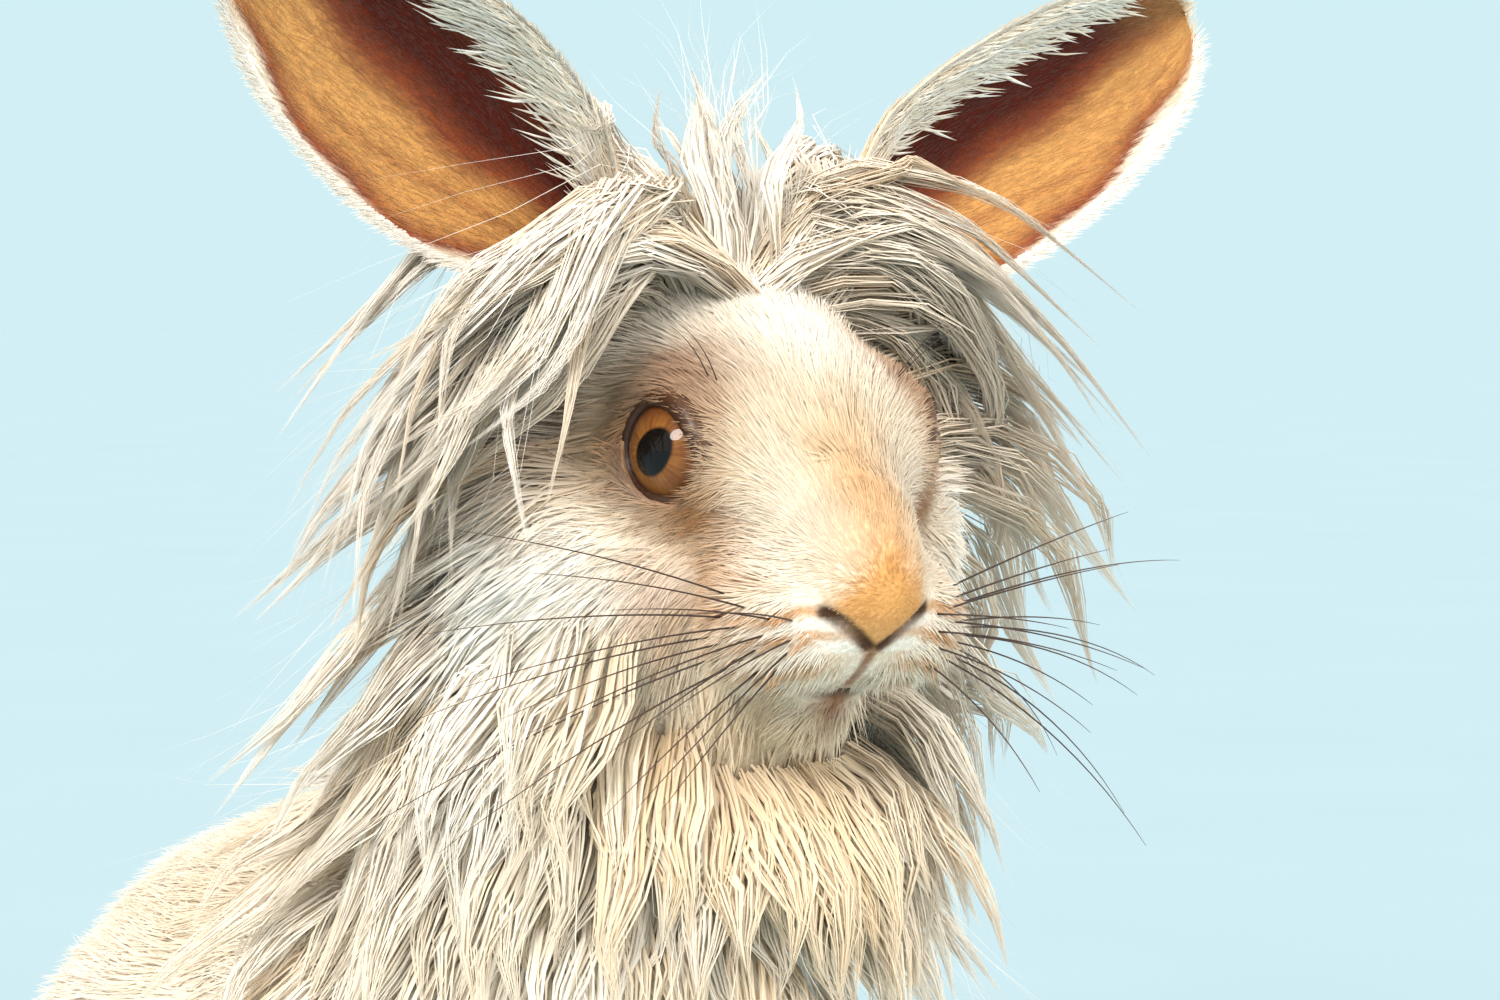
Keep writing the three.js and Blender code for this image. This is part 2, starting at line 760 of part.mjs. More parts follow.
/** Evens out a row of points: each but the two ends moves halfway to the middle of its neighbours. */
function eased(points) {
  for (let i = 1; i < points.length - 1; i += 1) {
    points[i].lerp(points[i - 1].clone().lerp(points[i + 1], 0.5), 0.5);
  }
}

/** The locks of one row on both sides, each as a function of how far its faces are let out. */
function rowOfLocks(row, place) {
  const locks = [];
  for (const side of [1, -1]) {
    const start = random() * 2 * Math.PI;
    for (let i = 0; i < row.count; i += 1) {
      const chance = [random(), random(), random()];
      const share = (i + 0.35 + 0.3 * chance[2]) / row.count;
      const angle = mix(...row.angles, share) * DEGREE * side;
      const { middle, away, back, loft } = place(mix(...row.ring, share), angle);
      const root = middle.addScaledVector(away, reachOf(underMane, middle, away, 0));
      const ways = { away, back, loft, side: new THREE.Vector3(side, 0, 0) };
      locks.push(lock(root, ways, row, { layer: i % 2, phase: start + i * LOCK.lag, chance }));
    }
  }
  return locks;
}

/** A ring round the head's length: angles from its top. */
const roundHead = (ring, angle) => {
  const middle = vector([0, ring, 0]).applyMatrix4(headPlace);
  const away = vector([Math.sin(angle), 0, Math.cos(angle)]).transformDirection(headPlace);
  return { middle, away, back: vector([0, 1, 0]).transformDirection(headPlace), loft: 1 };
};

/** A ring round the neck: angles from the throat. The mane lies flatter on the nape. */
const roundNeck = (ring, angle) => {
  const middle = vector(low).lerp(vector(high), ring);
  const away = vector([Math.sin(angle), -Math.cos(angle), 0]);
  const loft = mix(1, 0.5, smooth(0.1, 0.95, -Math.cos(angle)));
  return { middle, away, back: new THREE.Vector3(0, 1, 0), loft };
};

// Legs

/** A paw from heel to toes, flat under the sole. */
function paw({ heel, ball, toes }, side) {
  const field = rod(flip(heel.at, side), heel.radius, flip(ball.at, side), ball.radius);
  const sole = formAround([heel.at, ball.at].map((at) => flip(at, side)), field, FACETS.sole);
  const digits = toes.spread.map((offset, i) => {
    const ahead = toeDirection(toes, i, side);
    const from = toeRoot({ ball, toes }, i, side);
    const to = from.clone().addScaledVector(ahead, toes.length * toes.reach[i]);
    const ends = [from.toArray(), to.toArray()];
    const digit = rod(ends[0], toes.radius, ends[1], toes.radius * TOE.taper);
    return formAround(ends, digit, FACETS.toe);
  });
  return join([sole, ...digits]).subtract(underFloor);
}

/** Where one toe leaves the ball of the paw. */
const toeRoot = ({ ball, toes }, i, side) =>
  vector(flip([ball.at[0] + toes.spread[i], ball.at[1], toes.radius * TOE.height], side));

/** The way one toe points: forwards, a little down and spread like a fan. */
const toeDirection = (toes, i, side) =>
  vector(flip([toes.spread[i] * TOE.fan, -1, -toes.droop], side)).normalize();

/** One claw, curving down out of the tip of its toe. */
function claw({ ball, toes }, i, side, grow = 0) {
  const ahead = toeDirection(toes, i, side);
  const reach = toes.length * toes.reach[i] + toes.radius * TOE.taper - CLAW.sunk - grow;
  const start = toeRoot({ ball, toes }, i, side).addScaledVector(ahead, reach);
  const points = [];
  for (let step = 0; step <= CLAW.steps; step += 1) {
    const share = step / CLAW.steps;
    const drop = -CLAW.droop * CLAW.length * share * share;
    const point = start.clone().addScaledVector(ahead, (CLAW.length + 2 * grow) * share);
    points.push(point.add(new THREE.Vector3(0, 0, drop)));
  }
  const flats = points.map(() => new THREE.Vector3(0, 0, 1));
  const size = (share) => (CLAW.radius + grow) * Math.sqrt(1 - share * share);
  return bentCone(points, flats, CLAW.sides, size, size);
}

/** The thigh and shin of one hind leg. */
function hindLegField(side) {
  const { haunch, shin, blend } = HIND_LEG;
  const thigh = ellipsoid(flip(haunch.centre, side), haunch.radii);
  const lower = rod(flip(shin.from, side), shin.fromRadius, flip(shin.to, side), shin.toRadius);
  return together([thigh, lower], blend);
}

/** The shoulder, arm and wrist of one foreleg. */
function forelegField(side) {
  const { shoulder, elbow, wrist, blend } = FORELEG;
  const at = (joint) => flip(joint.at, side);
  const upper = rod(at(shoulder), shoulder.radius, at(elbow), elbow.radius);
  const lower = rod(at(elbow), elbow.radius, at(wrist), wrist.radius);
  return together([upper, lower], blend);
}

const alongSide = (path, side) => path.map((point) => flip(point, side));

/** One foreleg down to its wrist. */
const foreleg = (side, level) =>
  formAround(alongSide(FORELEG.path, side), forelegField(side), FACETS.foreleg, level);

// The nodes

const rabbit = new THREE.Group();

/** The surface of a solid, with its nearest vertices made one. */
function surfaceOf(solid) {
  const { vertProperties, triVerts } = solid.getMesh();
  const geometry = new THREE.BufferGeometry();
  geometry.setAttribute("position", new THREE.BufferAttribute(vertProperties, 3));
  geometry.setIndex(new THREE.BufferAttribute(triVerts, 1));
  return mergeVertices(geometry, WELD);
}

/** Adds one solid to the rabbit as a named piece: its largest closed body. */
function addPiece(name, solid, finish) {
  const geometry = surfaceOf(largest(solidOf(surfaceOf(largest(solid)))));
  const piece = new THREE.Mesh(geometry, new THREE.MeshStandardMaterial(finish));
  piece.name = name;
  rabbit.add(piece);
}

const SIDES = { left: 1, right: -1 };
const torsoRoom = torsoForm(GAP);
const headRoom = headForm(FACETS.headRoom, HEAD_ROOM);
const neckRoom = neckForm(GAP);
const headLocks = HEAD_ROWS.flatMap((row) => rowOfLocks(row, roundHead));
const neckLocks = NECK_ROWS.flatMap((row) => rowOfLocks(row, roundNeck));

const earRooms = Object.keys(SIDES).map((name) => onHead(ear(name, GAP)));
const forelegRooms = Object.values(SIDES).map((side) => foreleg(side, GAP));
const beside = [torsoRoom, ...earRooms, ...forelegRooms];

const headMane = cut(join(headLocks.map((one) => one(0))), [...beside, neckRoom]);
let head = headForm(FACETS.head, 0);
for (const line of faceGrooves()) head = head.subtract(onHead(line));
head = head.add(headMane);
for (const side of Object.values(SIDES)) {
  head = head.subtract(onHead(eyeOpening(side))).add(onHead(lidRing(side)));
}
for (const side of Object.values(SIDES)) head = head.subtract(onHead(eyeBall(side, GAP)));

const neckMane = join(neckLocks.map((one) => one(0)));
const headManeRoom = join(headLocks.map((one) => one(GAP)));
const neck = cut(neckForm(0).add(neckMane), [...beside, headRoom, headManeRoom]);

addPiece("torso", torsoForm(0), FINISH.white);
addPiece("head", head, FINISH.white);
addPiece("neck", neck, FINISH.white);
const tailPath = [TAIL.root, TAIL.tip];
addPiece("tail", cut(formAround(tailPath, tailField, FACETS.tail), [torsoRoom]), FINISH.white);

for (const [name, side] of Object.entries(SIDES)) {
  addPiece(`eye_${name}`, onHead(eyeBall(side)), FINISH.eye);
  addPiece(`ear_${name}`, cut(onHead(ear(name)), [headRoom, neckRoom]), FINISH.fawn);

  const hindPath = alongSide(HIND_LEG.path, side);
  const hindForm = (level) => formAround(hindPath, hindLegField(side), FACETS.hindLeg, level);
  addPiece(`hindleg_${name}`, cut(hindForm(0), [torsoRoom, underFloor]), FINISH.white);

  addPiece(`foreleg_${name}`, cut(foreleg(side, 0), [torsoRoom, neckRoom]), FINISH.white);

  const feet = [
    { limb: "hind", foot: HIND_FOOT, footName: "hindfoot", legRoom: hindForm(GAP) },
    { limb: "fore", foot: FORE_PAW, footName: "forepaw", legRoom: foreleg(side, GAP) },
  ];
  for (const { limb, foot, footName, legRoom } of feet) {
    const nails = foot.toes.spread.map((spread, i) => claw(foot, i, side));
    const nailRooms = foot.toes.spread.map((spread, i) => claw(foot, i, side, GAP));
    const whole = paw(foot, side);
    addPiece(`${footName}_${name}`, cut(whole, [torsoRoom, legRoom, ...nailRooms]), FINISH.white);
    nails.forEach((nail, i) => addPiece(`claw_${limb}_${name}_${i + 1}`, nail, FINISH.claw));
  }
}

// The origin goes on the floor under the middle of the animal.
const box = new THREE.Box3().setFromObject(rabbit);
const middle = box.getCenter(new THREE.Vector3());
rabbit.position.set(-middle.x, -middle.y, -box.min.z);

export default rabbit;
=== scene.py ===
import logging
import math
from dataclasses import dataclass, field
from enum import Enum
from functools import partial
from itertools import product
from typing import Callable, Iterable, Sequence

import bpy
import numpy as np
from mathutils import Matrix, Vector


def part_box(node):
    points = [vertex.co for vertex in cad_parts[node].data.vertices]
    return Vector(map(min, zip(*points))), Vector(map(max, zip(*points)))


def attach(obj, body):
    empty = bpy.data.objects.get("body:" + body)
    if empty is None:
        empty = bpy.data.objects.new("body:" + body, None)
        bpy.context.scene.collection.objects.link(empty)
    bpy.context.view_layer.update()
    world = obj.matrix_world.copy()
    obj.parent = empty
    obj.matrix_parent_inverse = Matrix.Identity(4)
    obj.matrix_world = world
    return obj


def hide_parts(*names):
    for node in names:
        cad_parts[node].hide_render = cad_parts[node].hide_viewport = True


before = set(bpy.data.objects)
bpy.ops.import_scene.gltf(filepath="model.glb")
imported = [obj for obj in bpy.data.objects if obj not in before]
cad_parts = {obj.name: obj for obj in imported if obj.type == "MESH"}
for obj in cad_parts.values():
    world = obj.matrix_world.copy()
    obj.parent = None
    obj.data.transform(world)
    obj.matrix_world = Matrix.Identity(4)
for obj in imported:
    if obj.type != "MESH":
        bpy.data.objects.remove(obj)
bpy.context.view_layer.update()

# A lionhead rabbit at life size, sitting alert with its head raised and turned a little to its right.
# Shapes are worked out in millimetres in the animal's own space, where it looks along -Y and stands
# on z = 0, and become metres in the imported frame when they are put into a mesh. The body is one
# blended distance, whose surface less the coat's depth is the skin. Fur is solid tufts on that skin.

logging.basicConfig(level=logging.INFO, format="%(message)s")
log = logging.getLogger("rabbit")

Array = np.ndarray
ByPlace = Callable[[Array], Array]
Pair = tuple[float, float]
Triple = tuple[float, float, float]
Draw = np.random.Generator

MM = 0.001
SEED = 20
SIDES = {"left": 1.0, "right": -1.0}
UP = np.array([0.0, 0.0, 1.0])
BACK = np.array([0.0, 1.0, 0.0])
WAVES = 6
RIPPLE_GAIN = 1.6
COARSE = 4


# Small vector helpers


def dot(a: Array, b: Array) -> Array:
    """The dot product over the last axis, which is kept."""
    return np.sum(a * b, axis=-1, keepdims=True)


def unit(vectors: Array) -> Array:
    """The vectors scaled to length one."""
    return vectors / np.maximum(np.linalg.norm(vectors, axis=-1, keepdims=True), 1e-9)


def mix(a: Array | float, b: Array | float, share: Array | float) -> Array | float:
    """The value that lies the given share of the way from a to b."""
    return a + (b - a) * share


def smooth(low: float, high: float, x: Array | float) -> Array:
    """A step from 0 at low to 1 at high with soft ends: 3t^2 - 2t^3."""
    t = np.clip((np.asarray(x, float) - low) / (high - low), 0.0, 1.0)
    return t * t * (3.0 - 2.0 * t)


def bell(x: Array, width: float) -> Array:
    """A bell curve of x: exp(-(x / width)^2)."""
    return np.exp(-((x / width) ** 2))


def tangential(vectors: Array, normals: Array) -> Array:
    """The part of each vector that lies in the surface with the given unit normals, as a unit vector."""
    return unit(vectors - normals * dot(vectors, normals))


def flipped(place: Sequence[float], side: float) -> Array:
    """A place with its x turned to the given side."""
    return np.array([place[0] * side, place[1], place[2]], float)


def mirrored(points: Array) -> Array:
    """Both sides' places turned to the left side, where paired forms are named."""
    return np.concatenate([np.abs(points[..., :1]), points[..., 1:]], axis=-1)


def turn_share(aside: Array, ahead: Array) -> Array:
    """The angle of a place seen from an axis, as a share of a turn from 0 to 1."""
    return np.arctan2(aside, ahead) / (2 * math.pi) + 0.5


def drawn_waves(size: float, seed: int) -> tuple[Array, Array]:
    """The wave vectors and phases of six sine waves of about a size, in drawn directions."""
    rng = np.random.default_rng(seed)
    waves = unit(rng.normal(size=(WAVES, 3))) * 2.0 * math.pi / (size * rng.uniform(0.7, 1.4, (WAVES, 1)))
    return waves, rng.uniform(0, 2 * math.pi, WAVES)


def ripple(points: Array, size: float, seed: int) -> Array:
    """Soft blotches from about -1 to 1: the mean of the drawn waves, made larger."""
    waves, phases = drawn_waves(size, seed)
    return np.sin(points @ waves.T + phases).mean(axis=1) * RIPPLE_GAIN


def swirling(points: Array, size: float, seeds: Sequence[int]) -> Array:
    """A direction that drifts softly from place to place: one ripple for each axis."""
    return np.stack([ripple(points, size, seed) for seed in seeds], axis=1)


def gathering(points: Array, size: float, seed: int) -> Array:
    """Which way hair tips lean to meet in clumps of a size: up the slope of the drawn waves' sum."""
    waves, phases = drawn_waves(size, seed)
    return np.cos(points @ waves.T + phases) @ unit(waves) / 2.0


# Distances


def blended(a: Array, b: Array, k: float) -> Array:
    """Two distances joined with a fillet of about k: min(a, b) less (k - |a - b|)^2 / 4k where close."""
    near = np.maximum(k - np.abs(a - b), 0.0) / k
    return np.minimum(a, b) - near * near * k * 0.25


def together(distances: Iterable[Array], k: float) -> Array:
    """All the distances joined with one fillet."""
    whole = None
    for one in distances:
        whole = one if whole is None else blended(whole, one, k)
    return whole


@dataclass(frozen=True)
class Ellipsoid:
    """A rounded form with three half axes; paired, it stands on both sides of the middle plane."""

    centre: Triple
    radii: Triple
    paired: bool = False

    def distance(self, points: Array, k: float = 6.0) -> Array:
        """Length n of the scaled place times (n - 1), over the slope of n; below zero inside."""
        if self.paired:
            other = Ellipsoid(tuple(flipped(self.centre, -1.0)), self.radii)
            return blended(Ellipsoid(self.centre, self.radii).distance(points), other.distance(points), k)
        scaled = (points - np.array(self.centre)) / np.array(self.radii)
        length = np.linalg.norm(scaled, axis=-1)
        slope = np.linalg.norm(scaled / np.array(self.radii), axis=-1)
        return length * (length - 1.0) / np.maximum(slope, 1e-6)


@dataclass(frozen=True)
class Rod:
    """A rod with round ends whose radius runs from one end to the other."""

    start: Triple
    start_radius: float
    end: Triple
    end_radius: float

    def distance(self, points: Array, k: float = 0.0) -> Array:
        """The distance from the nearest place on the middle line, less the radius there."""
        start, run = np.array(self.start), np.array(self.end) - np.array(self.start)
        share = np.clip((points - start) @ run / (run @ run), 0.0, 1.0)
        nearest = start + share[..., None] * run
        return np.linalg.norm(points - nearest, axis=-1) - mix(self.start_radius, self.end_radius, share)


def gradient(distance: ByPlace, points: Array, step: float = 0.4) -> Array:
    """The slope of a distance along each axis, by the difference over two steps."""
    slopes = []
    for axis in range(3):
        reach = np.zeros(3)
        reach[axis] = step
        slopes.append((distance(points + reach) - distance(points - reach)) / (2.0 * step))
    return np.stack(slopes, axis=-1)


def outward(distance: ByPlace, points: Array) -> Array:
    """The unit direction in which a distance grows fastest."""
    return unit(gradient(distance, points))


def march(distance: ByPlace, starts: Array, directions: Array, reach: float = 90.0) -> Array:
    """Where rays from inside first come out: even steps to the far side, then halving.

    Args:
        distance: the form that the rays leave.
        starts: where each ray starts, inside the form.
        directions: the unit direction of each ray.
        reach: the longest ray.

    Returns:
        The places where the distance is zero.
    """
    low, high = np.zeros(len(starts)), np.full(len(starts), reach)
    found = np.zeros(len(starts), bool)
    for far in np.arange(1.5, reach, 1.5):
        outside = distance(starts + directions * far) > 0
        new = outside & ~found
        low[new], high[new] = far - 1.5, far
        found |= outside
    for _ in range(12):
        middle = (low + high) / 2.0
        inside = distance(starts + directions * middle[:, None]) < 0
        low, high = np.where(inside, middle, low), np.where(inside, high, middle)
    return starts + directions * ((low + high) / 2.0)[:, None]


def polyline_distance(points: Array, path: Array) -> tuple[Array, Array]:
    """The distance from a chain of straight pieces, and the share of its length at the nearest place."""
    best = np.full(len(points), 1e9)
    where = np.zeros(len(points))
    for i in range(len(path) - 1):
        run = path[i + 1] - path[i]
        share = np.clip((points - path[i]) @ run / (run @ run), 0.0, 1.0)
        away = np.linalg.norm(points - path[i] - share[:, None] * run, axis=1)
        closer = away < best
        best, where = np.where(closer, away, best), np.where(closer, (i + share) / (len(path) - 1), where)
    return best, where


# The body's forms


@dataclass
class Head:
    """The head in its own frame, with the nose along -Y, set on the neck by a pitch and a turn."""

    at: Triple = (0.0, -71.0, 168.0)
    pitch: float = math.radians(18.0)
    turn: float = math.radians(-13.0)
    fillet: float = 6.0
    forms: tuple = (
        Ellipsoid((0, 12, 6), (27, 27, 25)),
        Ellipsoid((0, -6, 6), (24, 24, 22)),
        Rod((0, -6, 11.5), 15.5, (0, -30, 3), 11.5),
        Rod((0, -8, -4), 21, (0, -28, -8), 14.5),
        Ellipsoid((9.2, -30.5, -10), (11.4, 10.8, 11), paired=True),
        Ellipsoid((0, -38.6, -1.5), (7.6, 5.4, 7.4)),
        Ellipsoid((17, -8, 9), (8.8, 12, 12), paired=True),
        Ellipsoid((18.5, 2, -11), (18.5, 22, 20), paired=True),
        Rod((0, -8, -22), 13.5, (0, -27, -22.5), 9.5),
        Ellipsoid((0, 6, -20), (21, 20, 15)),
    )
    nose: Triple = (0.0, -41.0, -2.0)
    eye: Triple = (16.0, -9.0, 9.0)
    coat_depth: float = 3.4
    thin_depth: float = 0.7
    bare_eye: Pair = (4.0, 9.0)
    bare_nose: float = 18.0
    mouth_from: Triple = (0.0, -20.0, -11.0)
    mouth_turn: float = math.radians(62.0)
    mouth_drops: Pair = (0.78, 0.56)
    cleft_from: Triple = (0.0, -27.0, -8.0)
    cleft_drops: Pair = (0.22, 0.92)
    nostril_from: Triple = (0.0, -32.0, -2.0)
    nostril_turns: Pair = (math.radians(44.0), math.radians(6.0))
    nostril_drops: Pair = (0.2, 0.72)
    groove_radii: Triple = (0.8, 0.5, 0.95)
    groove_fillet: float = 0.8
    groove_places: int = 25
    grooved_from: float = -14.0
    ray_reach: float = 40.0

    def __post_init__(self) -> None:
        """Works out the turn of the frame and the grooves of the mouth and nose."""
        cp, sp = math.cos(self.pitch), math.sin(self.pitch)
        ct, st = math.cos(self.turn), math.sin(self.turn)
        tilt = np.array([[1, 0, 0], [0, cp, -sp], [0, sp, cp]])
        spin = np.array([[ct, -st, 0], [st, ct, 0], [0, 0, 1]])
        self.rotation = spin @ tilt
        self.grooves = self.find_grooves()

    def outwards(self, local: Array) -> Array:
        """Places in the head's frame as places in the animal's space."""
        return local @ self.rotation.T + np.array(self.at)

    def turned(self, local: Array) -> Array:
        """Directions in the head's frame as directions in the animal's space."""
        return np.asarray(local, float) @ self.rotation.T

    def inwards(self, points: Array) -> Array:
        """Places in the animal's space as places in the head's frame."""
        return (points - np.array(self.at)) @ self.rotation

    def form(self, local: Array) -> Array:
        """The distance from the coat's outer face, in the head's frame."""
        return together((one.distance(local, self.fillet) for one in self.forms), self.fillet)

    def depth(self, local: Array) -> Array:
        """How deep the skin lies: the coat's depth, thinning to almost none at the nose, lips and eyes."""
        start, width = self.bare_eye
        near_eye = bell(self.from_eye(local) - start, width)
        near_nose = bell(np.linalg.norm(local - np.array(self.nose), axis=-1), self.bare_nose)
        return mix(self.coat_depth, self.thin_depth, np.clip(near_eye + near_nose, 0.0, 1.0))

    def from_eye(self, local: Array) -> Array:
        """The distance from the middle of the eye on each place's own side."""
        return np.linalg.norm(mirrored(local) - np.array(self.eye), axis=-1)

    def ray(self, start: Triple, turns: Array, drops: Array) -> Array:
        """Where rays inside the muzzle, turned to the side and sloping down, meet the bare skin."""
        ways = unit(np.stack([np.sin(turns), -np.cos(turns), -drops], axis=-1))
        starts = np.repeat(np.array([start], float), len(turns), axis=0)
        return march(lambda p: self.form(p) + self.depth(p), starts, ways, self.ray_reach)

    def find_grooves(self) -> dict[str, tuple[Array, float]]:
        """The mouth, the cleft of the lip and the nostrils, each a row of places and a radius."""
        t = np.linspace(0.0, 1.0, self.groove_places)
        lips, split, slits = self.groove_radii
        turns = mix(-self.mouth_turn, self.mouth_turn, t)
        mouth = self.ray(self.mouth_from, turns, mix(*self.mouth_drops, np.sin(math.pi * t)))
        cleft = self.ray(self.cleft_from, t * 0.0, mix(*self.cleft_drops, t))
        grooves = {"mouth": (mouth, lips), "cleft": (cleft, split)}
        for name, side in SIDES.items():
            bend = mix(*self.nostril_drops, t**1.5)
            slit = self.ray(self.nostril_from, side * mix(*self.nostril_turns, t), bend)
            grooves[f"nostril_{name}"] = (slit, slits)
        return grooves

    def skin(self, local: Array) -> Array:
        """The distance from the bare skin: the form let in by the coat's depth, and grooved."""
        bare = self.form(local) + self.depth(local)
        near = local[..., 1] < self.grooved_from
        if near.any():
            places = local[near]
            carved = bare[near]
            for path, radius in self.grooves.values():
                away, share = polyline_distance(places, path)
                size = radius * (0.4 + 0.6 * np.sin(math.pi * share))
                carved = -blended(-carved, away - size, self.groove_fillet)
            bare = bare.copy()
            bare[near] = carved
        for side in SIDES.values():
            away = local - flipped(self.eye, side)
            bare = np.maximum(bare, Eye.opening_distance(away, side))
        return bare

    def from_grooves(self, local: Array) -> Array:
        """The distance from the nearest edge of the mouth, the cleft and the nostrils."""
        grooves = self.grooves.values()
        return np.minimum.reduce([polyline_distance(local, path)[0] - size for path, size in grooves])

    def under(self, points: Array) -> Array:
        """The distance from the coat's outer face, in the animal's space."""
        return self.form(self.inwards(points))


class Foot(Enum):
    """Which pair of feet."""

    FORE = "fore"
    HIND = "hind"


@dataclass
class Body:
    """Trunk, neck, tail and legs: the named forms and how deep the coat is over each."""

    torso_forms: tuple = (
        Ellipsoid((0, 42, 57), (50, 50, 53)),
        Ellipsoid((0, 14, 67), (45, 46, 51)),
        Ellipsoid((0, -14, 71), (40, 42, 46)),
        Ellipsoid((0, -38, 74), (36, 31, 43)),
    )
    torso_fillet: float = 14.0
    neck_low: Triple = (0.0, -34.0, 96.0)
    neck_high: Triple = (0.0, -56.0, 140.0)
    neck_radii: Pair = (36.0, 31.0)
    tail: Rod = Rod((0, 86, 50), 12, (0, 101, 62), 13)
    thigh: Ellipsoid = Ellipsoid((34, 40, 48), (25, 40, 41))
    shin: Rod = Rod((38, 20, 22), 13, (38, 66, 18), 11.5)
    hind_sole: Rod = Rod((38, 70, 9.2), 10, (42, 16, 8.8), 10)
    upper_arm: Rod = Rod((24, -34, 68), 21, (25, -40, 46), 16.5)
    lower_arm: Rod = Rod((25, -40, 46), 16.5, (19, -57, 18), 11.5)
    fore_sole: Rod = Rod((18.5, -56, 8.2), 9, (18, -71, 7.6), 8.4)
    leg_fillet: float = 10.0
    hind_toes: tuple = ((-8, -2.8, 2.8, 7.8), (0.78, 1, 0.96, 0.74), 17.0, 5.3, 0.08)
    fore_toes: tuple = ((-6.4, -2.3, 2.2, 6), (0.8, 1, 0.96, 0.72), 11.5, 4.2, 0.1)
    toe_height: float = 1.35
    toe_fan: float = 0.03
    toe_taper: float = 0.8
    toe_fillet: float = 2.0
    depths: dict = field(
        default_factory=lambda: {
            "torso": 6.5, "neck": 5.0, "tail": 6.0, "thigh": 5.0,
            "arm": 3.2, "hind_foot": 1.7, "fore_foot": 1.4,
        }
    )

    def torso(self, points: Array) -> Array:
        """The distance from the trunk's coat."""
        return together((one.distance(points) for one in self.torso_forms), self.torso_fillet)

    def neck(self, points: Array) -> Array:
        """The distance from the core under the neck's mane."""
        return Rod(self.neck_low, self.neck_radii[0], self.neck_high, self.neck_radii[1]).distance(points)

    def sole(self, foot: Foot) -> Rod:
        """The sole of one left foot."""
        return self.hind_sole if foot is Foot.HIND else self.fore_sole

    def toes(self, foot: Foot) -> list[Rod]:
        """The toes of one left foot as rods."""
        sole, plan = self.sole(foot), self.hind_toes if foot is Foot.HIND else self.fore_toes
        spreads, reaches, length, radius, droop = plan
        made = []
        for spread, reach in zip(spreads, reaches):
            start = np.array([sole.end[0] + spread, sole.end[1], radius * self.toe_height])
            ahead = unit(np.array([spread * self.toe_fan, -1.0, -droop]))
            end = start + ahead * length * reach
            made.append(Rod(tuple(start), radius, tuple(end), radius * self.toe_taper))
        return made

    def foot(self, points: Array, foot: Foot) -> Array:
        """The distance from both feet of one pair, flat under the sole."""
        turned = mirrored(points)
        rods = [self.sole(foot), *self.toes(foot)]
        whole = together((rod.distance(turned) for rod in rods), self.toe_fillet)
        return np.maximum(whole, -points[..., 2])

    def parts(self, points: Array) -> dict[str, Array]:
        """The distance from the coat of each part but the head."""
        turned = mirrored(points)
        return {
            "torso": self.torso(points),
            "neck": self.neck(points),
            "tail": self.tail.distance(points),
            "thigh": blended(self.thigh.distance(turned), self.shin.distance(turned), self.leg_fillet),
            "arm": blended(self.upper_arm.distance(turned), self.lower_arm.distance(turned), self.leg_fillet),
            "hind_foot": self.foot(points, Foot.HIND),
            "fore_foot": self.foot(points, Foot.FORE),
        }


@dataclass
class Rabbit:
    """The whole animal as distances: its skin, what its mane lies on, and which part a place is on."""

    head: Head = field(default_factory=Head)
    body: Body = field(default_factory=Body)
    joins: dict = field(
        default_factory=lambda: {
            "torso": 10.0, "neck": 14.0, "tail": 6.0, "thigh": 9.0,
            "arm": 9.0, "hind_foot": 5.0, "fore_foot": 4.0,
        }
    )
    chin_span: Pair = (-88.0, -76.0)
    sole_height: float = 0.25

    def skin(self, points: Array) -> Array:
        """The parts' distances let in by their coats' depths, joined with each part's own fillet."""
        whole = None
        for name, distance in self.body.parts(points).items():
            bare = distance + self.body.depths[name]
            whole = bare if whole is None else blended(whole, bare, self.joins[name])
        head = self.head.skin(self.head.inwards(points))
        joined = blended(whole, head, self.joins["neck"])
        behind_chin = smooth(*self.chin_span, points[..., 1])
        whole = mix(np.minimum(whole, head), joined, behind_chin)
        return np.maximum(whole, self.sole_height - points[..., 2])

    def under_mane(self, points: Array) -> Array:
        """What the mane lies on: trunk, neck core and head."""
        trunk = np.minimum(self.body.torso(points), self.body.neck(points))
        return np.minimum(trunk, self.head.under(points))

    def shares(self, points: Array, softness: float = 4.0) -> dict[str, Array]:
        """How much each place belongs to each part: exp(-distance / softness), together 1."""
        away = {**self.body.parts(points), "head": self.head.under(points)}
        nearest = np.minimum.reduce(list(away.values()))
        weights = {name: np.exp(-(one - nearest) / softness) for name, one in away.items()}
        total = sum(weights.values())
        return {name: weight / total for name, weight in weights.items()}


# Meshes


@dataclass
class Place:
    """Turns millimetres in the animal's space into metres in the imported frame."""

    shift: Array

    @staticmethod
    def from_frame(head: Head) -> "Place":
        """Finds the shift from the left eye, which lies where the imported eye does."""
        low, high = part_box("eye_left")
        packed = (np.array(low) + np.array(high)) / 2.0 / MM
        return Place(packed - head.outwards(np.array(head.eye)))

    def metres(self, points: Array) -> Array:
        """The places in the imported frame."""
        return (points + self.shift) * MM


@dataclass
class Surface:
    """A closed mesh in millimetres: places, faces and tints, and by face corner its maps and normals."""

    points: Array
    faces: Array
    tints: Array | None = None
    bake_places: Array | None = None
    hair_places: Array | None = None
    normals: Array | None = None

    def triangles(self) -> Array:
        """The faces, each split into triangles."""
        if self.faces.shape[1] == 3:
            return self.faces
        return np.concatenate([self.faces[:, [0, 1, 2]], self.faces[:, [0, 2, 3]]])


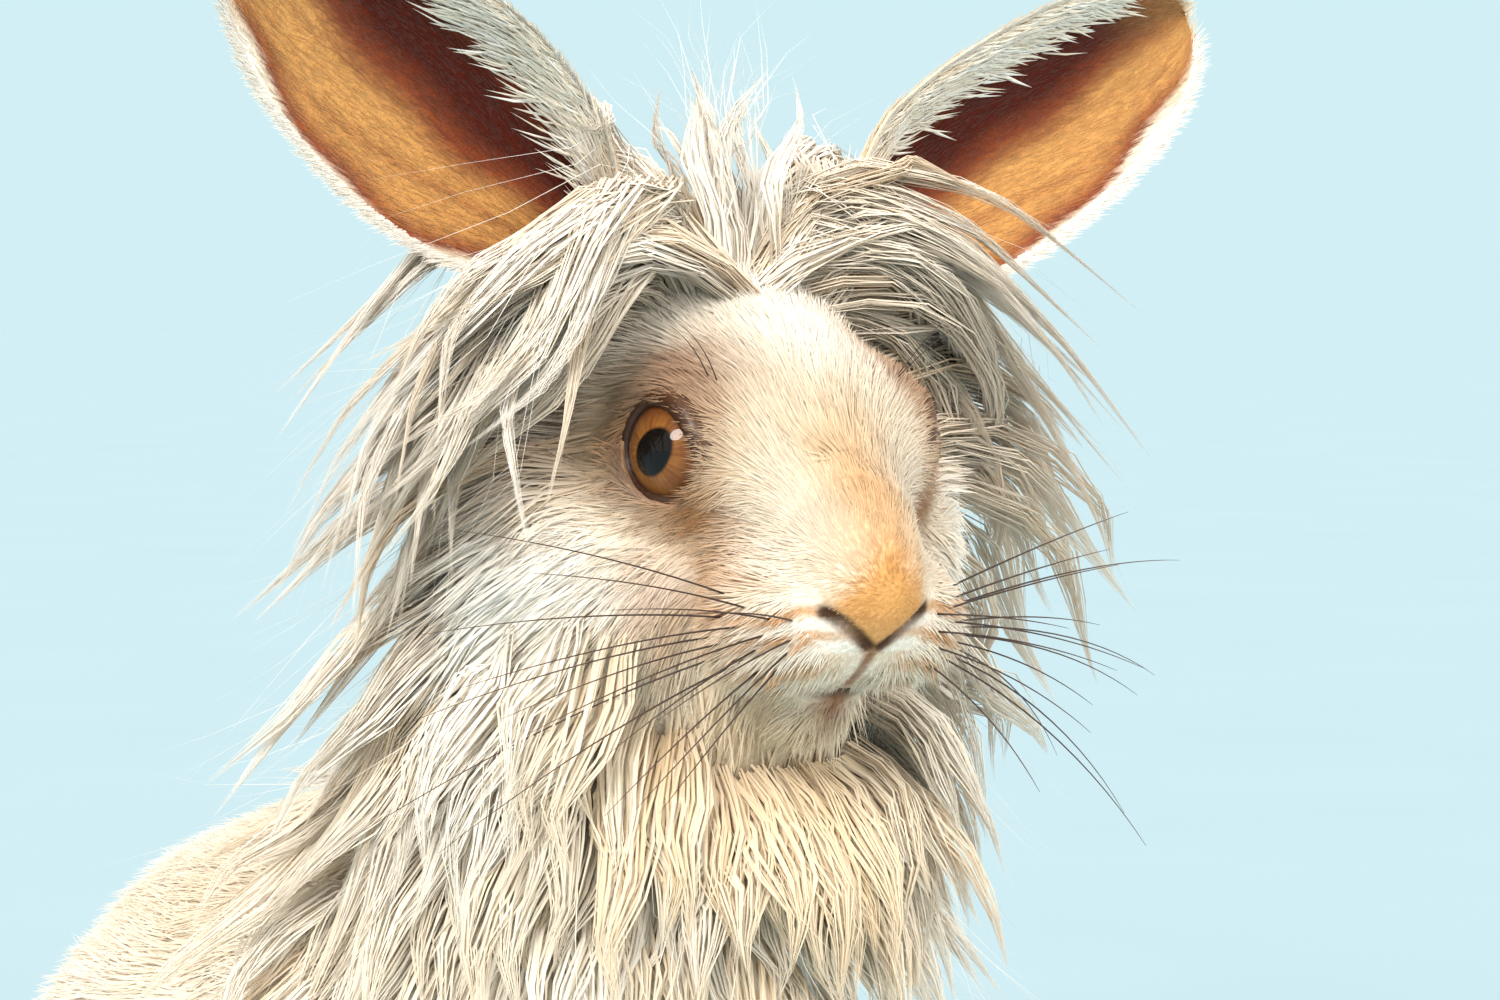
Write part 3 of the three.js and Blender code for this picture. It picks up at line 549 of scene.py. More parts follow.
def joined_surfaces(surfaces: Sequence[Surface]) -> Surface:
    """Several tinted surfaces of triangles as one."""
    offsets = np.cumsum([0] + [len(one.points) for one in surfaces[:-1]])
    faces = [one.faces + offset for one, offset in zip(surfaces, offsets)]
    points, tints = ([getattr(one, name) for one in surfaces] for name in ("points", "tints"))
    return Surface(np.concatenate(points), np.concatenate(faces), np.concatenate(tints))


def stand(name: str, data: bpy.types.ID) -> bpy.types.Object:
    """Puts a mesh, lamp or camera into the scene as an object."""
    made = bpy.data.objects.new(name, data)
    bpy.context.scene.collection.objects.link(made)
    return made


class Workshop:
    """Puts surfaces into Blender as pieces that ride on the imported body."""

    def __init__(self, place: Place) -> None:
        """Keeps the place that turns millimetres into the frame's metres."""
        self.place = place

    def piece(
        self, name: str, surface: Surface, material: bpy.types.Material,
        replaced: Sequence[str] = (),
    ) -> None:
        """Makes one piece.

        Args:
            name: the piece's name.
            surface: its shape, whose tints become the attribute "tint" and whose bake and hair places
                become the maps OFBake and hair.
            material: its finish.
            replaced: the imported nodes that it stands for.
        """
        mesh = bpy.data.meshes.new(name)
        count, sides = surface.faces.shape
        mesh.vertices.add(len(surface.points))
        mesh.vertices.foreach_set("co", self.place.metres(surface.points).astype(np.float32).ravel())
        mesh.loops.add(count * sides)
        mesh.loops.foreach_set("vertex_index", surface.faces.astype(np.int32).ravel())
        mesh.polygons.add(count)
        mesh.polygons.foreach_set("loop_start", np.arange(0, count * sides, sides, dtype=np.int32))
        mesh.polygons.foreach_set("use_smooth", np.ones(count, bool))
        mesh.update(calc_edges=True)
        tint = mesh.attributes.new("tint", "FLOAT_COLOR", "POINT")
        opaque = np.concatenate([surface.tints, np.ones((len(surface.tints), 1))], axis=1)
        tint.data.foreach_set("color", np.clip(opaque, 0.0, 1.0).astype(np.float32).ravel())
        for title, places in (("OFBake", surface.bake_places), ("hair", surface.hair_places)):
            if places is not None:
                mesh.uv_layers.new(name=title).data.foreach_set("uv", places.astype(np.float32).ravel())
        if surface.normals is not None:
            mesh.normals_split_custom_set(surface.normals.astype(np.float32))
        mesh.materials.append(material)
        made = stand(name, mesh)
        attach(made, "root")
        if replaced:
            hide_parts(*replaced)
        log.info("%s: %d triangles", name, count * (sides - 2))


def closed_grid(points: Array, wrap_rows: bool = False) -> Array:
    """The faces of a grid of places that closes on itself along its second axis.

    Args:
        points: the grid, rows by columns by 3.
        wrap_rows: whether the last row also joins the first.

    Returns:
        Faces of four, facing out where the columns run counterclockwise seen along the rows.
    """
    rows, columns = points.shape[:2]
    row = np.arange(rows if wrap_rows else rows - 1)[:, None]
    column = np.arange(columns)[None, :]
    after_row, after_column = (row + 1) % rows, (column + 1) % columns
    corners = [
        row * columns + column,
        row * columns + after_column,
        after_row * columns + after_column,
        after_row * columns + column,
    ]
    return np.stack([np.broadcast_to(one, (len(row), columns)) for one in corners], axis=-1).reshape(-1, 4)


def turns(count: int) -> Array:
    """Even angles round a circle."""
    return np.linspace(0.0, 2.0 * math.pi, count, endpoint=False)


def swept(path: Array, radii: Array, sides: int, flatness: float = 1.0) -> Array:
    """Rings along a path: the radius times cos of the turn across it, less sin of the turn over it."""
    tangent = unit(np.gradient(path, axis=0))
    across = unit(np.cross(tangent, UP))
    over = np.cross(across, tangent)
    turn = turns(sides)[:, None]
    ring = across[:, None] * np.cos(turn) * flatness - over[:, None] * np.sin(turn)
    return path[:, None] + ring * radii[:, None, None]


def tube(rings: Array, tints: Array) -> Surface:
    """A tube through rings of places, its two ends closed by a fan round their middle.

    Args:
        rings: the grid of rings, each counterclockwise seen from the tube's far end.
        tints: the colour of each place; the ends' middles get the mean of their rings'.

    Returns:
        The closed surface, of triangles.
    """
    count, sides = rings.shape[:2]
    grids = (rings, tints)
    points, colours = (np.concatenate([one.reshape(-1, 3), one[[0, -1]].mean(axis=1)]) for one in grids)
    body = Surface(points, closed_grid(rings)).triangles()
    here = np.arange(sides)
    after = (here + 1) % sides
    last = (count - 1) * sides
    start_cap = np.stack([np.full(sides, count * sides), after, here], axis=1)
    end_cap = np.stack([np.full(sides, count * sides + 1), last + here, last + after], axis=1)
    return Surface(points, np.concatenate([body, start_cap, end_cap]), colours)


@dataclass
class Ruler:
    """Grid lines along one axis: wide cells, and narrow ones over a stretch with fine forms."""

    low: float
    high: float
    cell: float
    fine_low: float
    fine_high: float
    fine_cell: float

    def lines(self) -> Array:
        """The places of the lines, whose cells make up whole coarse cells."""
        before = np.arange(self.low, self.fine_low, self.cell)
        fine = np.arange(self.fine_low, self.fine_high, self.fine_cell)
        lines = np.concatenate([before, fine, np.arange(self.fine_high, self.high, self.cell)])
        spare = (-(len(lines) - 1)) % COARSE
        return np.concatenate([lines, lines[-1] + self.cell * np.arange(1, spare + 1)])


def surface_net(distance: ByPlace, rulers: Sequence[Ruler]) -> Surface:
    """The closed surface where a distance is zero: a place in each cell, a face over each crossed line.

    A coarse grid, of every fourth line, first finds where the surface may run. The fine grid is
    worked out only there. Each cell that the surface passes gets the mean of the crossings on its
    edges, moved along the slope until the distance is zero.

    Args:
        distance: below zero inside.
        rulers: the grid's lines along x, y and z.

    Returns:
        The surface, of faces of four.
    """
    axes = [ruler.lines() for ruler in rulers]
    coarse_axes = [lines[::COARSE] for lines in axes]
    coarse = np.stack(np.meshgrid(*coarse_axes, indexing="ij"), axis=-1)
    far = distance(coarse.reshape(-1, 3)).reshape(coarse.shape[:3])
    widest = COARSE * max(ruler.cell for ruler in rulers)
    close = np.abs(far) < widest * 1.9
    values = far
    for axis in range(3):
        values = np.repeat(values, COARSE, axis=axis)
        close = np.repeat(close, COARSE, axis=axis)
    trim = tuple(slice(0, len(lines)) for lines in axes)
    values, close = values[trim].copy(), close[trim]
    spread = close.copy()
    for axis in range(3):
        for step in range(1, COARSE):
            spread |= np.roll(close, -step, axis=axis)
        close = spread.copy()
    found = np.argwhere(close)
    places = lambda index: np.stack([axes[axis][index[:, axis]] for axis in range(3)], axis=-1)
    values[tuple(found.T)] = distance(places(found))

    inside = values < 0
    shape = tuple(len(lines) - 1 for lines in axes)
    corner = lambda i, j, k: tuple(slice(o, o + n) for o, n in zip((i, j, k), shape))
    total = sum(inside[corner(*steps)].astype(np.int8) for steps in product((0, 1), repeat=3))
    cells = np.argwhere((total > 0) & (total < 8))
    sums, hits = np.zeros((len(cells), 3)), np.zeros((len(cells), 1))
    for axis in range(3):
        others = [one for one in range(3) if one != axis]
        for steps in product((0, 1), repeat=2):
            start = cells.copy()
            start[:, others] += steps
            end = start.copy()
            end[:, axis] += 1
            a, b = values[tuple(start.T)], values[tuple(end.T)]
            crossed = (a < 0) != (b < 0)
            share = np.where(crossed, a / np.where(crossed, a - b, 1.0), 0.0)[:, None]
            sums += np.where(crossed[:, None], mix(places(start), places(end), share), 0.0)
            hits += crossed[:, None]
    points = sums / hits
    for _ in range(2):
        slope = gradient(distance, points)
        size = np.maximum(dot(slope, slope), 0.05)
        move = -slope * distance(points)[:, None] / size
        length = np.linalg.norm(move, axis=1, keepdims=True)
        points = points + move * np.minimum(1.0, 0.5 / np.maximum(length, 1e-9))

    number = np.full(shape, -1, np.int64)
    number[tuple(cells.T)] = np.arange(len(cells))
    faces = []
    for axis in range(3):
        others = [(1, 2), (2, 0), (0, 1)][axis]
        edges = np.argwhere(inside != np.roll(inside, -1, axis=axis))
        edges = edges[(edges < shape).all(axis=1) & (edges[:, others] > 0).all(axis=1)]
        around = []
        for steps in ((1, 1), (0, 1), (0, 0), (1, 0)):
            cell = edges.copy()
            cell[:, others] -= steps
            around.append(number[tuple(cell.T)])
        quad = np.stack(around, axis=1)
        out = inside[tuple(edges.T)]
        turned = np.where(out[:, None], quad[:, ::-1], quad)
        faces.append(turned[(turned >= 0).all(axis=1)])
    return Surface(points, np.concatenate(faces))


# Tufts


PER_TUFT = ("paths", "widths", "facings", "tints", "bake_roots")


@dataclass
class Tufts:
    """Many solid tufts: three-sided tapered prisms along bent paths, closed at the root.

    The facings are the way out of the body, one for a tuft or one for each of its rings.
    """

    paths: Array
    widths: Array
    facings: Array
    tints: Array
    bake_roots: Array
    softness: float = 0.72
    flatness: float = 0.42
    bake_size: float = 0.003
    hairs: float = 4.5
    hair_stretch: float = 0.14
    hair_steps: Pair = (7.3, 1.7)
    hair_spans: Pair = (500.0, 90.0)

    def surface(self) -> Surface:
        """All tufts as one surface: each ring's corners lie at thirds of a turn round the path.

        The normals of the two upper sides lean from each corner's own towards the way out of the
        body, by the softness, and those of the underside the other way, so that light runs over
        neighbouring tufts as over one coat. The hair map runs across and along each tuft.

        Returns:
            The closed surface with its tints, bake places, hair places and normals.
        """
        count, rings = self.paths.shape[:2]
        ahead = np.empty_like(self.paths)
        ahead[:, 1:-1] = self.paths[:, 2:] - self.paths[:, :-2]
        ahead[:, 0] = self.paths[:, 1] - self.paths[:, 0]
        ahead[:, -1] = self.paths[:, -1] - self.paths[:, -2]
        ahead = unit(ahead)
        given = self.facings if self.facings.ndim == 3 else self.facings[:, None]
        facing = tangential(np.broadcast_to(given, ahead.shape), ahead)
        across = np.cross(facing, ahead)
        turns = np.arange(3) * 2.0 * math.pi / 3.0 + math.pi / 2.0
        corners = (
            across[:, :, None] * np.cos(turns)[None, None, :, None]
            + facing[:, :, None] * np.sin(turns)[None, None, :, None] * self.flatness
        )
        placed = self.paths[:, :, None] + corners * self.widths[:, :, None, None]
        body = placed[:, :-1].reshape(count, -1, 3)
        points = np.concatenate([body, self.paths[:, -1:]], axis=1)
        faces, patch, under = self.pattern(rings)
        every = faces[None] + (np.arange(count) * points.shape[1])[:, None, None]
        tints = np.repeat(self.tints[:, :-1], 3, axis=1)
        tints = np.concatenate([tints, self.tints[:, -1:]], axis=1)
        bake_places = self.bake_roots[:, None, None] + (patch[None] - 0.5) * self.bake_size
        reach = np.linalg.norm(self.paths[:, -1] - self.paths[:, 0], axis=1)
        size = np.stack([np.full(count, self.hairs), reach * self.hair_stretch], axis=1)
        own = np.arange(count)[:, None] * np.array(self.hair_steps) % np.array(self.hair_spans)
        hair_places = own[:, None, None] + patch[None] * size[:, None, None]
        upper, lower = (self.leaning(corners, facing * way) for way in (1.0, -1.0))
        normals = np.where(under[None, :, None, None], lower[:, faces], upper[:, faces])
        return Surface(
            points.reshape(-1, 3), every.reshape(-1, 3), tints.reshape(-1, 3), bake_places.reshape(-1, 2),
            hair_places.reshape(-1, 2), normals.reshape(-1, 3),
        )

    def leaning(self, corners: Array, facing: Array) -> Array:
        """The normals at all of a tuft's places, each leaning from its own corner's to the facing."""
        sides = unit(mix(unit(corners[:, :-1]), facing[:, :-1, None], self.softness))
        return np.concatenate([sides.reshape(len(corners), -1, 3), facing[:, -1:]], axis=1)

    def pattern(self, rings: int) -> tuple[Array, Array, Array]:
        """One tuft's faces, where their corners lie across and along it, and which face its underside."""
        body = closed_grid(np.zeros((rings - 1, 3, 3)))
        sides = Surface(np.zeros((1, 3)), body).triangles()
        last, tip = (rings - 2) * 3, (rings - 1) * 3
        caps = [[last, last + 1, tip], [last + 1, last + 2, tip], [last + 2, last, tip], [0, 2, 1]]
        faces = np.concatenate([sides, np.array(caps)])
        up = np.append(np.repeat(np.arange(rings - 1), 3), rings - 1) / (rings - 1)
        over = np.append(np.tile([0.5, 0.0, 1.0], rings - 1), 0.5)
        ridge = (faces % 3 == 0) & (faces < tip)
        under = ~ridge.any(axis=1)
        under[-1] = False
        return faces, np.stack([over, up], axis=1)[faces], under

    def part(self, keep: slice) -> "Tufts":
        """Some of the tufts."""
        return Tufts(*(getattr(self, name)[keep] for name in PER_TUFT), self.softness)

    def split(self, most: int = 195_000) -> list["Tufts"]:
        """The tufts shared out so that none of the lots passes the given number of triangles."""
        each = (self.paths.shape[1] - 2) * 6 + 4
        lots = math.ceil(len(self.paths) * each / most)
        size = math.ceil(len(self.paths) / lots)
        return [self.part(slice(start, start + size)) for start in range(0, len(self.paths), size)]


def gathered(lots: Sequence[Tufts]) -> Tufts:
    """Several lots of tufts with equal rings as one."""
    arrays = (np.concatenate([getattr(one, name) for one in lots]) for name in PER_TUFT)
    return Tufts(*arrays, lots[0].softness)


def taper(rings: int, root: float, belly: float) -> Array:
    """Half widths along a tuft as shares: from the root's, out to 1 at the belly, down to a point."""
    t = np.linspace(0.0, 1.0, rings)
    rise = mix(root, 1.0, smooth(0.0, belly, t))
    return rise * (1.0 - smooth(belly, 1.0, t)) ** 0.75


@dataclass
class Scatter:
    """Places spread evenly at random over a surface, with the normals there."""

    points: Array
    normals: Array

    @staticmethod
    def over(surface: Surface, normals: Array, density: ByPlace, seed: int) -> "Scatter":
        """Spreads places so that their number to a square millimetre follows the density.

        Args:
            surface: what they lie on.
            normals: the unit normal at each of its places.
            density: the wanted number to a square millimetre at each place.
            seed: of the draw.

        Returns:
            The places, in the order of the surface's triangles.
        """
        rng = np.random.default_rng(seed)
        triangles = surface.triangles()
        a, b, c = (surface.points[triangles[:, i]] for i in range(3))
        area = np.linalg.norm(np.cross(b - a, c - a), axis=1) / 2.0
        expected = np.cumsum(area * density((a + b + c) / 3.0))
        count = int(expected[-1])
        drawn = (np.arange(count) + rng.uniform(0, 1, count)) * expected[-1] / count
        chosen = np.minimum(np.searchsorted(expected, drawn), len(triangles) - 1)
        u, v = np.sqrt(rng.uniform(0, 1, count)), rng.uniform(0, 1, count)
        weights = np.stack([1.0 - u, u * (1.0 - v), u * v], axis=1)
        corners = triangles[chosen]
        points = np.einsum("ni,nij->nj", weights, surface.points[corners])
        return Scatter(points, unit(np.einsum("ni,nij->nj", weights, normals[corners])))


# Markings


def linear(code: str) -> Array:
    """A colour written as six hex digits, in linear light."""
    parts = np.array([int(code[i : i + 2], 16) / 255.0 for i in (0, 2, 4)])
    return np.where(parts <= 0.04045, parts / 12.92, ((parts + 0.055) / 1.055) ** 2.4)


def dye(code: str) -> Array:
    """A palette's field for a colour written as six hex digits."""
    return field(default_factory=lambda: linear(code))


@dataclass(frozen=True)
class Palette:
    """The colours of the coat and the bare parts."""

    white: Array = dye("fffdf8")
    cream: Array = dye("f8ecd6")
    fawn: Array = dye("e6c99c")
    tan: Array = dye("dea460")
    brown: Array = dye("8a5630")
    umber: Array = dye("3d2213")
    russet: Array = dye("94492a")
    maroon: Array = dye("5a1c0c")
    iris: Array = dye("683a1a")
    amber: Array = dye("a06a34")
    black: Array = dye("0a0706")
    horn: Array = dye("7c6a55")


@dataclass(frozen=True)
class Patch:
    """An oval patch of colour on both sides of the face, in the head's frame."""

    middle: Triple
    halves: Triple

    def mask(self, left: Array, width: float = 1.0) -> Array:
        """From 1 at the middle: a bell of the scaled distance, for places turned to the left side."""
        return bell(np.linalg.norm((left - np.array(self.middle)) / np.array(self.halves), axis=1), width)


@dataclass
class Markings:
    """The colour of skin and coat at each place, from masks that follow the head and the trunk."""

    rabbit: Rabbit
    palette: Palette = field(default_factory=Palette)
    brow: Patch = Patch((17.0, -11.0, 21.0), (8.0, 10.0, 4.0))
    # Painted shade under the mane, behind the eye.
    temple: Patch = Patch((24.0, 4.0, 6.0), (8.0, 9.0, 8.0))
    corner: Patch = Patch((17.0, -20.5, 3.5), (5.0, 6.5, 3.6))
    pad: Patch = Patch((18.0, -24.5, -7.0), (6.0, 7.5, 9.5))
    lip_place: int = 12
    lip_drop: float = 1.6

    def layer(self, base: Array, colour: Array, mask: Array) -> Array:
        """The base with a colour laid over it where the mask is."""
        return mix(base, colour, np.clip(mask, 0.0, 1.0)[:, None])

    def at(self, points: Array) -> Array:
        """The colour at each place: head and trunk mixed by how much the place belongs to each."""
        on_head = smooth(8.0, -2.0, self.rabbit.head.under(points) - self.rabbit.body.torso(points) * 0.3)
        return mix(self.trunk(points), self.face(self.rabbit.head.inwards(points)), on_head[:, None])

    def face(self, local: Array) -> Array:
        """White with tan on the nose and its bridge, brown round the eyes and along the lips, and painted
        shade under the muzzle and jaw.
        """
        colours = self.palette
        x, y, z = np.abs(local[:, 0]), local[:, 1], local[:, 2]
        tint = np.repeat(colours.white[None], len(local), axis=0)
        tint = self.layer(tint, colours.cream, 0.15 + 0.3 * ripple(local, 26.0, 3))
        # Painted shade: cream under the muzzle and fawn under the jaw darken and warm the head's underside.
        tint = self.layer(tint, colours.cream, 0.9 * smooth(-6.0, -13.0, z) * smooth(-8.0, -20.0, y))
        tint = self.layer(tint, colours.fawn, 0.45 * smooth(-15.0, -26.0, z) * smooth(26.0, 10.0, x))
        streak = ripple(local * [1.6, 0.5, 0.5], 8.0, 9)
        tint = self.nose(tint, x, y, z, streak)
        tint = self.round_eyes(tint, local, streak)
        return self.muzzle(tint, local, streak)

    def nose(self, tint: Array, x: Array, y: Array, z: Array, streak: Array) -> Array:
        """Lays fawn along the bridge and tan over its end and on the nose's rhombus."""
        colours = self.palette
        bridge = bell(x, 11.0 + 2.0 * streak) * smooth(-10.0, -30.0, y) * smooth(-9.0, -2.0, z)
        tint = self.layer(tint, colours.fawn, 0.8 * bridge)
        end = bell(x, 6.0) * smooth(-22.0, -36.0, y) * smooth(-10.0, -3.0, z)
        tint = self.layer(tint, colours.tan, 0.5 * end)
        rhombus = x / 8.2 + np.abs(z + 3.0) / 8.8
        return self.layer(tint, colours.tan, 0.95 * smooth(1.25, 0.7, rhombus) * smooth(-33.0, -38.0, y))

    def round_eyes(self, tint: Array, local: Array, streak: Array) -> Array:
        """Lays fawn and brown rings round the eyes, brown on brows and inner corners, and tan on the temples
        as painted shade under the mane.
        """
        colours = self.palette
        left = mirrored(local)
        eye = self.rabbit.head.from_eye(local)
        tint = self.layer(tint, colours.fawn, 0.7 * bell(np.maximum(eye - 9.0, 0.0), 7.0))
        tint = self.layer(tint, colours.brown, 0.8 * bell(np.maximum(eye - 9.2, 0.0), 3.2))
        tint = self.layer(tint, colours.brown, (0.65 + 0.35 * streak) * self.brow.mask(left))
        # Painted shade in tan on the temples, under the mane.
        tint = self.layer(tint, colours.tan * 0.85, (0.5 + 0.2 * streak) * self.temple.mask(left))
        return self.layer(tint, colours.brown, 0.9 * self.corner.mask(left, 1.1))

    def muzzle(self, tint: Array, local: Array, streak: Array) -> Array:
        """Lays tan and brown on the pads and the lower lip, and painted shade in dark colours along the
        grooves.
        """
        colours = self.palette
        left = mirrored(local)
        x, y, z = left.T
        tint = self.layer(tint, colours.tan, (0.9 + 0.3 * streak) * self.pad.mask(left, 1.1))
        tint = self.layer(tint, colours.brown, (0.6 + 0.4 * streak) * self.pad.mask(left, 0.75))
        grooves = self.rabbit.head.grooves
        lip = local - grooves["mouth"][0][self.lip_place] + np.array([0.0, 0.0, self.lip_drop])
        tint = self.layer(tint, colours.brown, 0.95 * bell(np.linalg.norm(lip, axis=1), 3.8))
        bed = bell(x - 11.0, 7.0) * smooth(-26.0, -31.0, y) * smooth(-19.0, -15.0, z) * smooth(-1.0, -5.0, z)
        rows = np.clip(np.sin(z * 1.7 + y * 0.4) + 0.3, 0.0, 1.0)
        tint = self.layer(tint, mix(colours.tan, colours.brown, 0.3), 0.85 * bed * rows)
        # Painted shade: dark colours laid into the mouth, cleft and nostril grooves.
        for name, (path, radius) in grooves.items():
            away, _ = polyline_distance(local, path)
            colour, most = (colours.brown, 0.85) if name == "cleft" else (colours.umber, 0.96)
            tint = self.layer(tint, colour, most * bell(np.maximum(away - radius * 0.6, 0.0), 0.7))
        return tint

    def trunk(self, points: Array) -> Array:
        """Cream, whiter below and on the feet, fawn along the back and haunches in soft blotches, and fawn
        painted shade on the throat under the chin.
        """
        colours = self.palette
        blotch = ripple(points, 48.0, 5)
        tint = np.repeat(colours.white[None], len(points), axis=0)
        high = smooth(30.0, 100.0, points[:, 2])
        tint = self.layer(tint, colours.cream, 0.15 + 0.3 * high + 0.25 * blotch)
        # Painted shade: fawn on the throat under the chin.
        throat = bell(points[:, 0] + 6.0, 24.0) * smooth(-60.0, -84.0, points[:, 1])
        tint = self.layer(tint, colours.fawn, 0.45 * (throat * smooth(100.0, 125.0, points[:, 2])))
        behind = smooth(-30.0, 40.0, points[:, 1])
        return self.layer(tint, colours.fawn, (0.18 + 0.22 * blotch) * high * behind)


def coat_tints(base: Array, rings: int, rng: Draw, root: float, spread: float) -> Array:
    """Tints along tufts: the markings' colour, with painted shade darker and warmer at the root, and drawn a
    little apart.

    Args:
        base: the colour at each tuft's root.
        rings: how many rings a tuft has.
        rng: the draw.
        root: the root's brightness as a share of the tip's, a painted shade where the hairs crowd.
        spread: how far two tufts' brightnesses may lie apart.

    Returns:
        A tint for each ring of each tuft.
    """
    # Painted shade at the roots: darker towards the root, most in blue, so warmer there.
    along = mix(root, 1.0, smooth(-0.3, 0.7, np.linspace(0.0, 1.0, rings)))
    own = 1.0 + rng.uniform(-spread, spread * 0.5, (len(base), 1))
    warm = 1.0 + rng.uniform(-0.05, 0.02, (len(base), 1)) * np.array([[0.0, 0.5, 1.6]])
    return (base * own * warm)[:, None] * along[None, :, None] ** np.array([0.75, 1.0, 1.35])


# Short coat


class Lie(Enum):
    """Which way short fur lies: to the tail, down, to the toes, away from the nose, or up and back."""

    REAR = "rear"
    DOWN = "down"
    TOES = "toes"
    NOSE = "nose"
    BRUSH = "brush"


@dataclass(frozen=True)
class Pelt:
    """The short coat of one part: its length and width in millimetres, its stand and its lie."""

    length: float
    width: float
    lift: float
    lie: Lie


class Group(Enum):
    """Where one lot of the short coat grows."""

    FACE = "face"
    TRUNK = "trunk"
    LIMBS = "limbs"
    CHEEKS = "cheeks"


@dataclass
class ShortCoat:
    """All the coat but the mane."""

    rabbit: Rabbit
    markings: Markings
    pelts: dict = field(
        default_factory=lambda: {
            "torso": Pelt(16.0, 0.42, 0.2, Lie.REAR),
            "neck": Pelt(15.0, 0.42, 0.25, Lie.DOWN),
            "tail": Pelt(14.0, 0.42, 0.5, Lie.BRUSH),
            "thigh": Pelt(13.5, 0.4, 0.2, Lie.REAR),
            "arm": Pelt(8.5, 0.36, 0.22, Lie.DOWN),
            "hind_foot": Pelt(5.2, 0.32, 0.3, Lie.TOES),
            "fore_foot": Pelt(4.2, 0.28, 0.3, Lie.TOES),
            "head": Pelt(7.0, 0.26, 0.32, Lie.NOSE),
        }
    )
    trunk_density: float = 1.75
    limb_density: float = 1.9
    face_density: float = 7.5
    fluff_density: float = 2.7
    fluff_length: float = 22.0
    jowl_length: float = 16.0
    hairline: float = 2.0
    ground: float = 0.4
    sunk: float = 0.3
    pad_middle: Triple = (13.0, -32.0, -10.0)
    pad_reach: float = 9.0

    def flow(self, lie: Lie, points: Array) -> Array:
        """The way the fur of one lie runs at each place, before it is laid into the surface."""
        local = self.rabbit.head.inwards(points)
        if lie is Lie.NOSE:
            away = unit(local - np.array(self.rabbit.head.nose))
            cheek = smooth(4.0, 22.0, np.abs(local[:, 0]))[:, None] * np.array([0.0, 0.2, -0.75])
            return self.rabbit.head.turned(away + cheek + 0.22 * swirling(local, 17.0, (11, 12, 13)))
        swirl = swirling(points, 30.0, (14, 15, 16))
        if lie is Lie.REAR:
            chest = smooth(-30.0, -62.0, points[:, 1])[:, None]
            return mix(np.array([0.0, 1.0, -0.42]), np.array([0.0, 0.1, -1.0]), chest) + 0.22 * swirl
        if lie is Lie.TOES:
            return np.array([0.0, -1.0, -0.25]) + 0.1 * swirl
        if lie is Lie.BRUSH:
            return np.array([0.0, 0.75, 0.65]) + 0.4 * swirl
        return np.array([0.0, 0.12, -1.0]) + 0.18 * swirl

    def grow(self, scatter: Scatter, seed: int) -> Tufts:
        """Tufts on the given places.

        Each tuft is a straight spike that leans out of the skin by its pelt's lift, and the curve of
        the body lifts its tip further.

        Args:
            scatter: the roots and the skin's normals.
            seed: of the draw.

        Returns:
            The tufts, with the markings' colours.
        """
        rng = np.random.default_rng(seed)
        points, normals = scatter.points, scatter.normals
        shares = self.rabbit.shares(points)
        count = len(points)
        length, width, lift = np.zeros(count), np.zeros(count), np.zeros(count)
        flow = np.zeros((count, 3))
        for part, share in shares.items():
            pelt = self.pelts[part]
            length += share * pelt.length
            width += share * pelt.width
            lift += share * pelt.lift
            flow += share[:, None] * tangential(self.flow(pelt.lie, points), normals)
        local = self.rabbit.head.inwards(points)
        on_head = shares["head"]
        depth = self.rabbit.head.depth(local)
        short = depth / self.rabbit.head.coat_depth
        cheek = smooth(-24.0, -8.0, local[:, 1]) * smooth(8.0, -6.0, local[:, 2])
        fluff = 1.0 + 0.5 * smooth(-16.0, 6.0, local[:, 1]) + 0.5 * cheek
        lips = mix(0.35, 1.0, smooth(0.0, 5.0, self.rabbit.head.from_grooves(local)))
        length *= mix(1.0, (0.16 + 0.84 * short) * fluff * lips, on_head)
        width *= mix(1.0, 0.5 + 0.5 * short, on_head)
        pads = mirrored(local) - np.array(self.pad_middle)
        puff = bell(np.linalg.norm(pads, axis=1), self.pad_reach)
        length *= 1.0 + 0.45 * puff
        lift *= mix(1.0, 0.45 + 0.55 * short + 0.8 * puff, on_head)
        length *= rng.uniform(0.7, 1.15, count)
        clump = gathering(points, 4.0, 21) * 0.3 + gathering(points, 9.0, 22) * 0.22
        along = tangential(flow + clump + rng.normal(0, 0.13, (count, 3)), normals)
        lean = lift * rng.uniform(0.6, 1.3, count)
        ahead = unit(along + normals * lean[:, None])
        root = points - normals * self.sunk
        paths = np.stack([root, root + length[:, None] * ahead], axis=1)
        paths[..., 2] = np.maximum(paths[..., 2], self.ground)
        widths = np.array([[1.0, 0.0]]) * (width * rng.uniform(0.75, 1.25, count))[:, None]
        tints = coat_tints(self.markings.at(points), 2, rng, 0.9, 0.06)
        return Tufts(paths, widths, normals, tints, self.unwrap(points, shares))

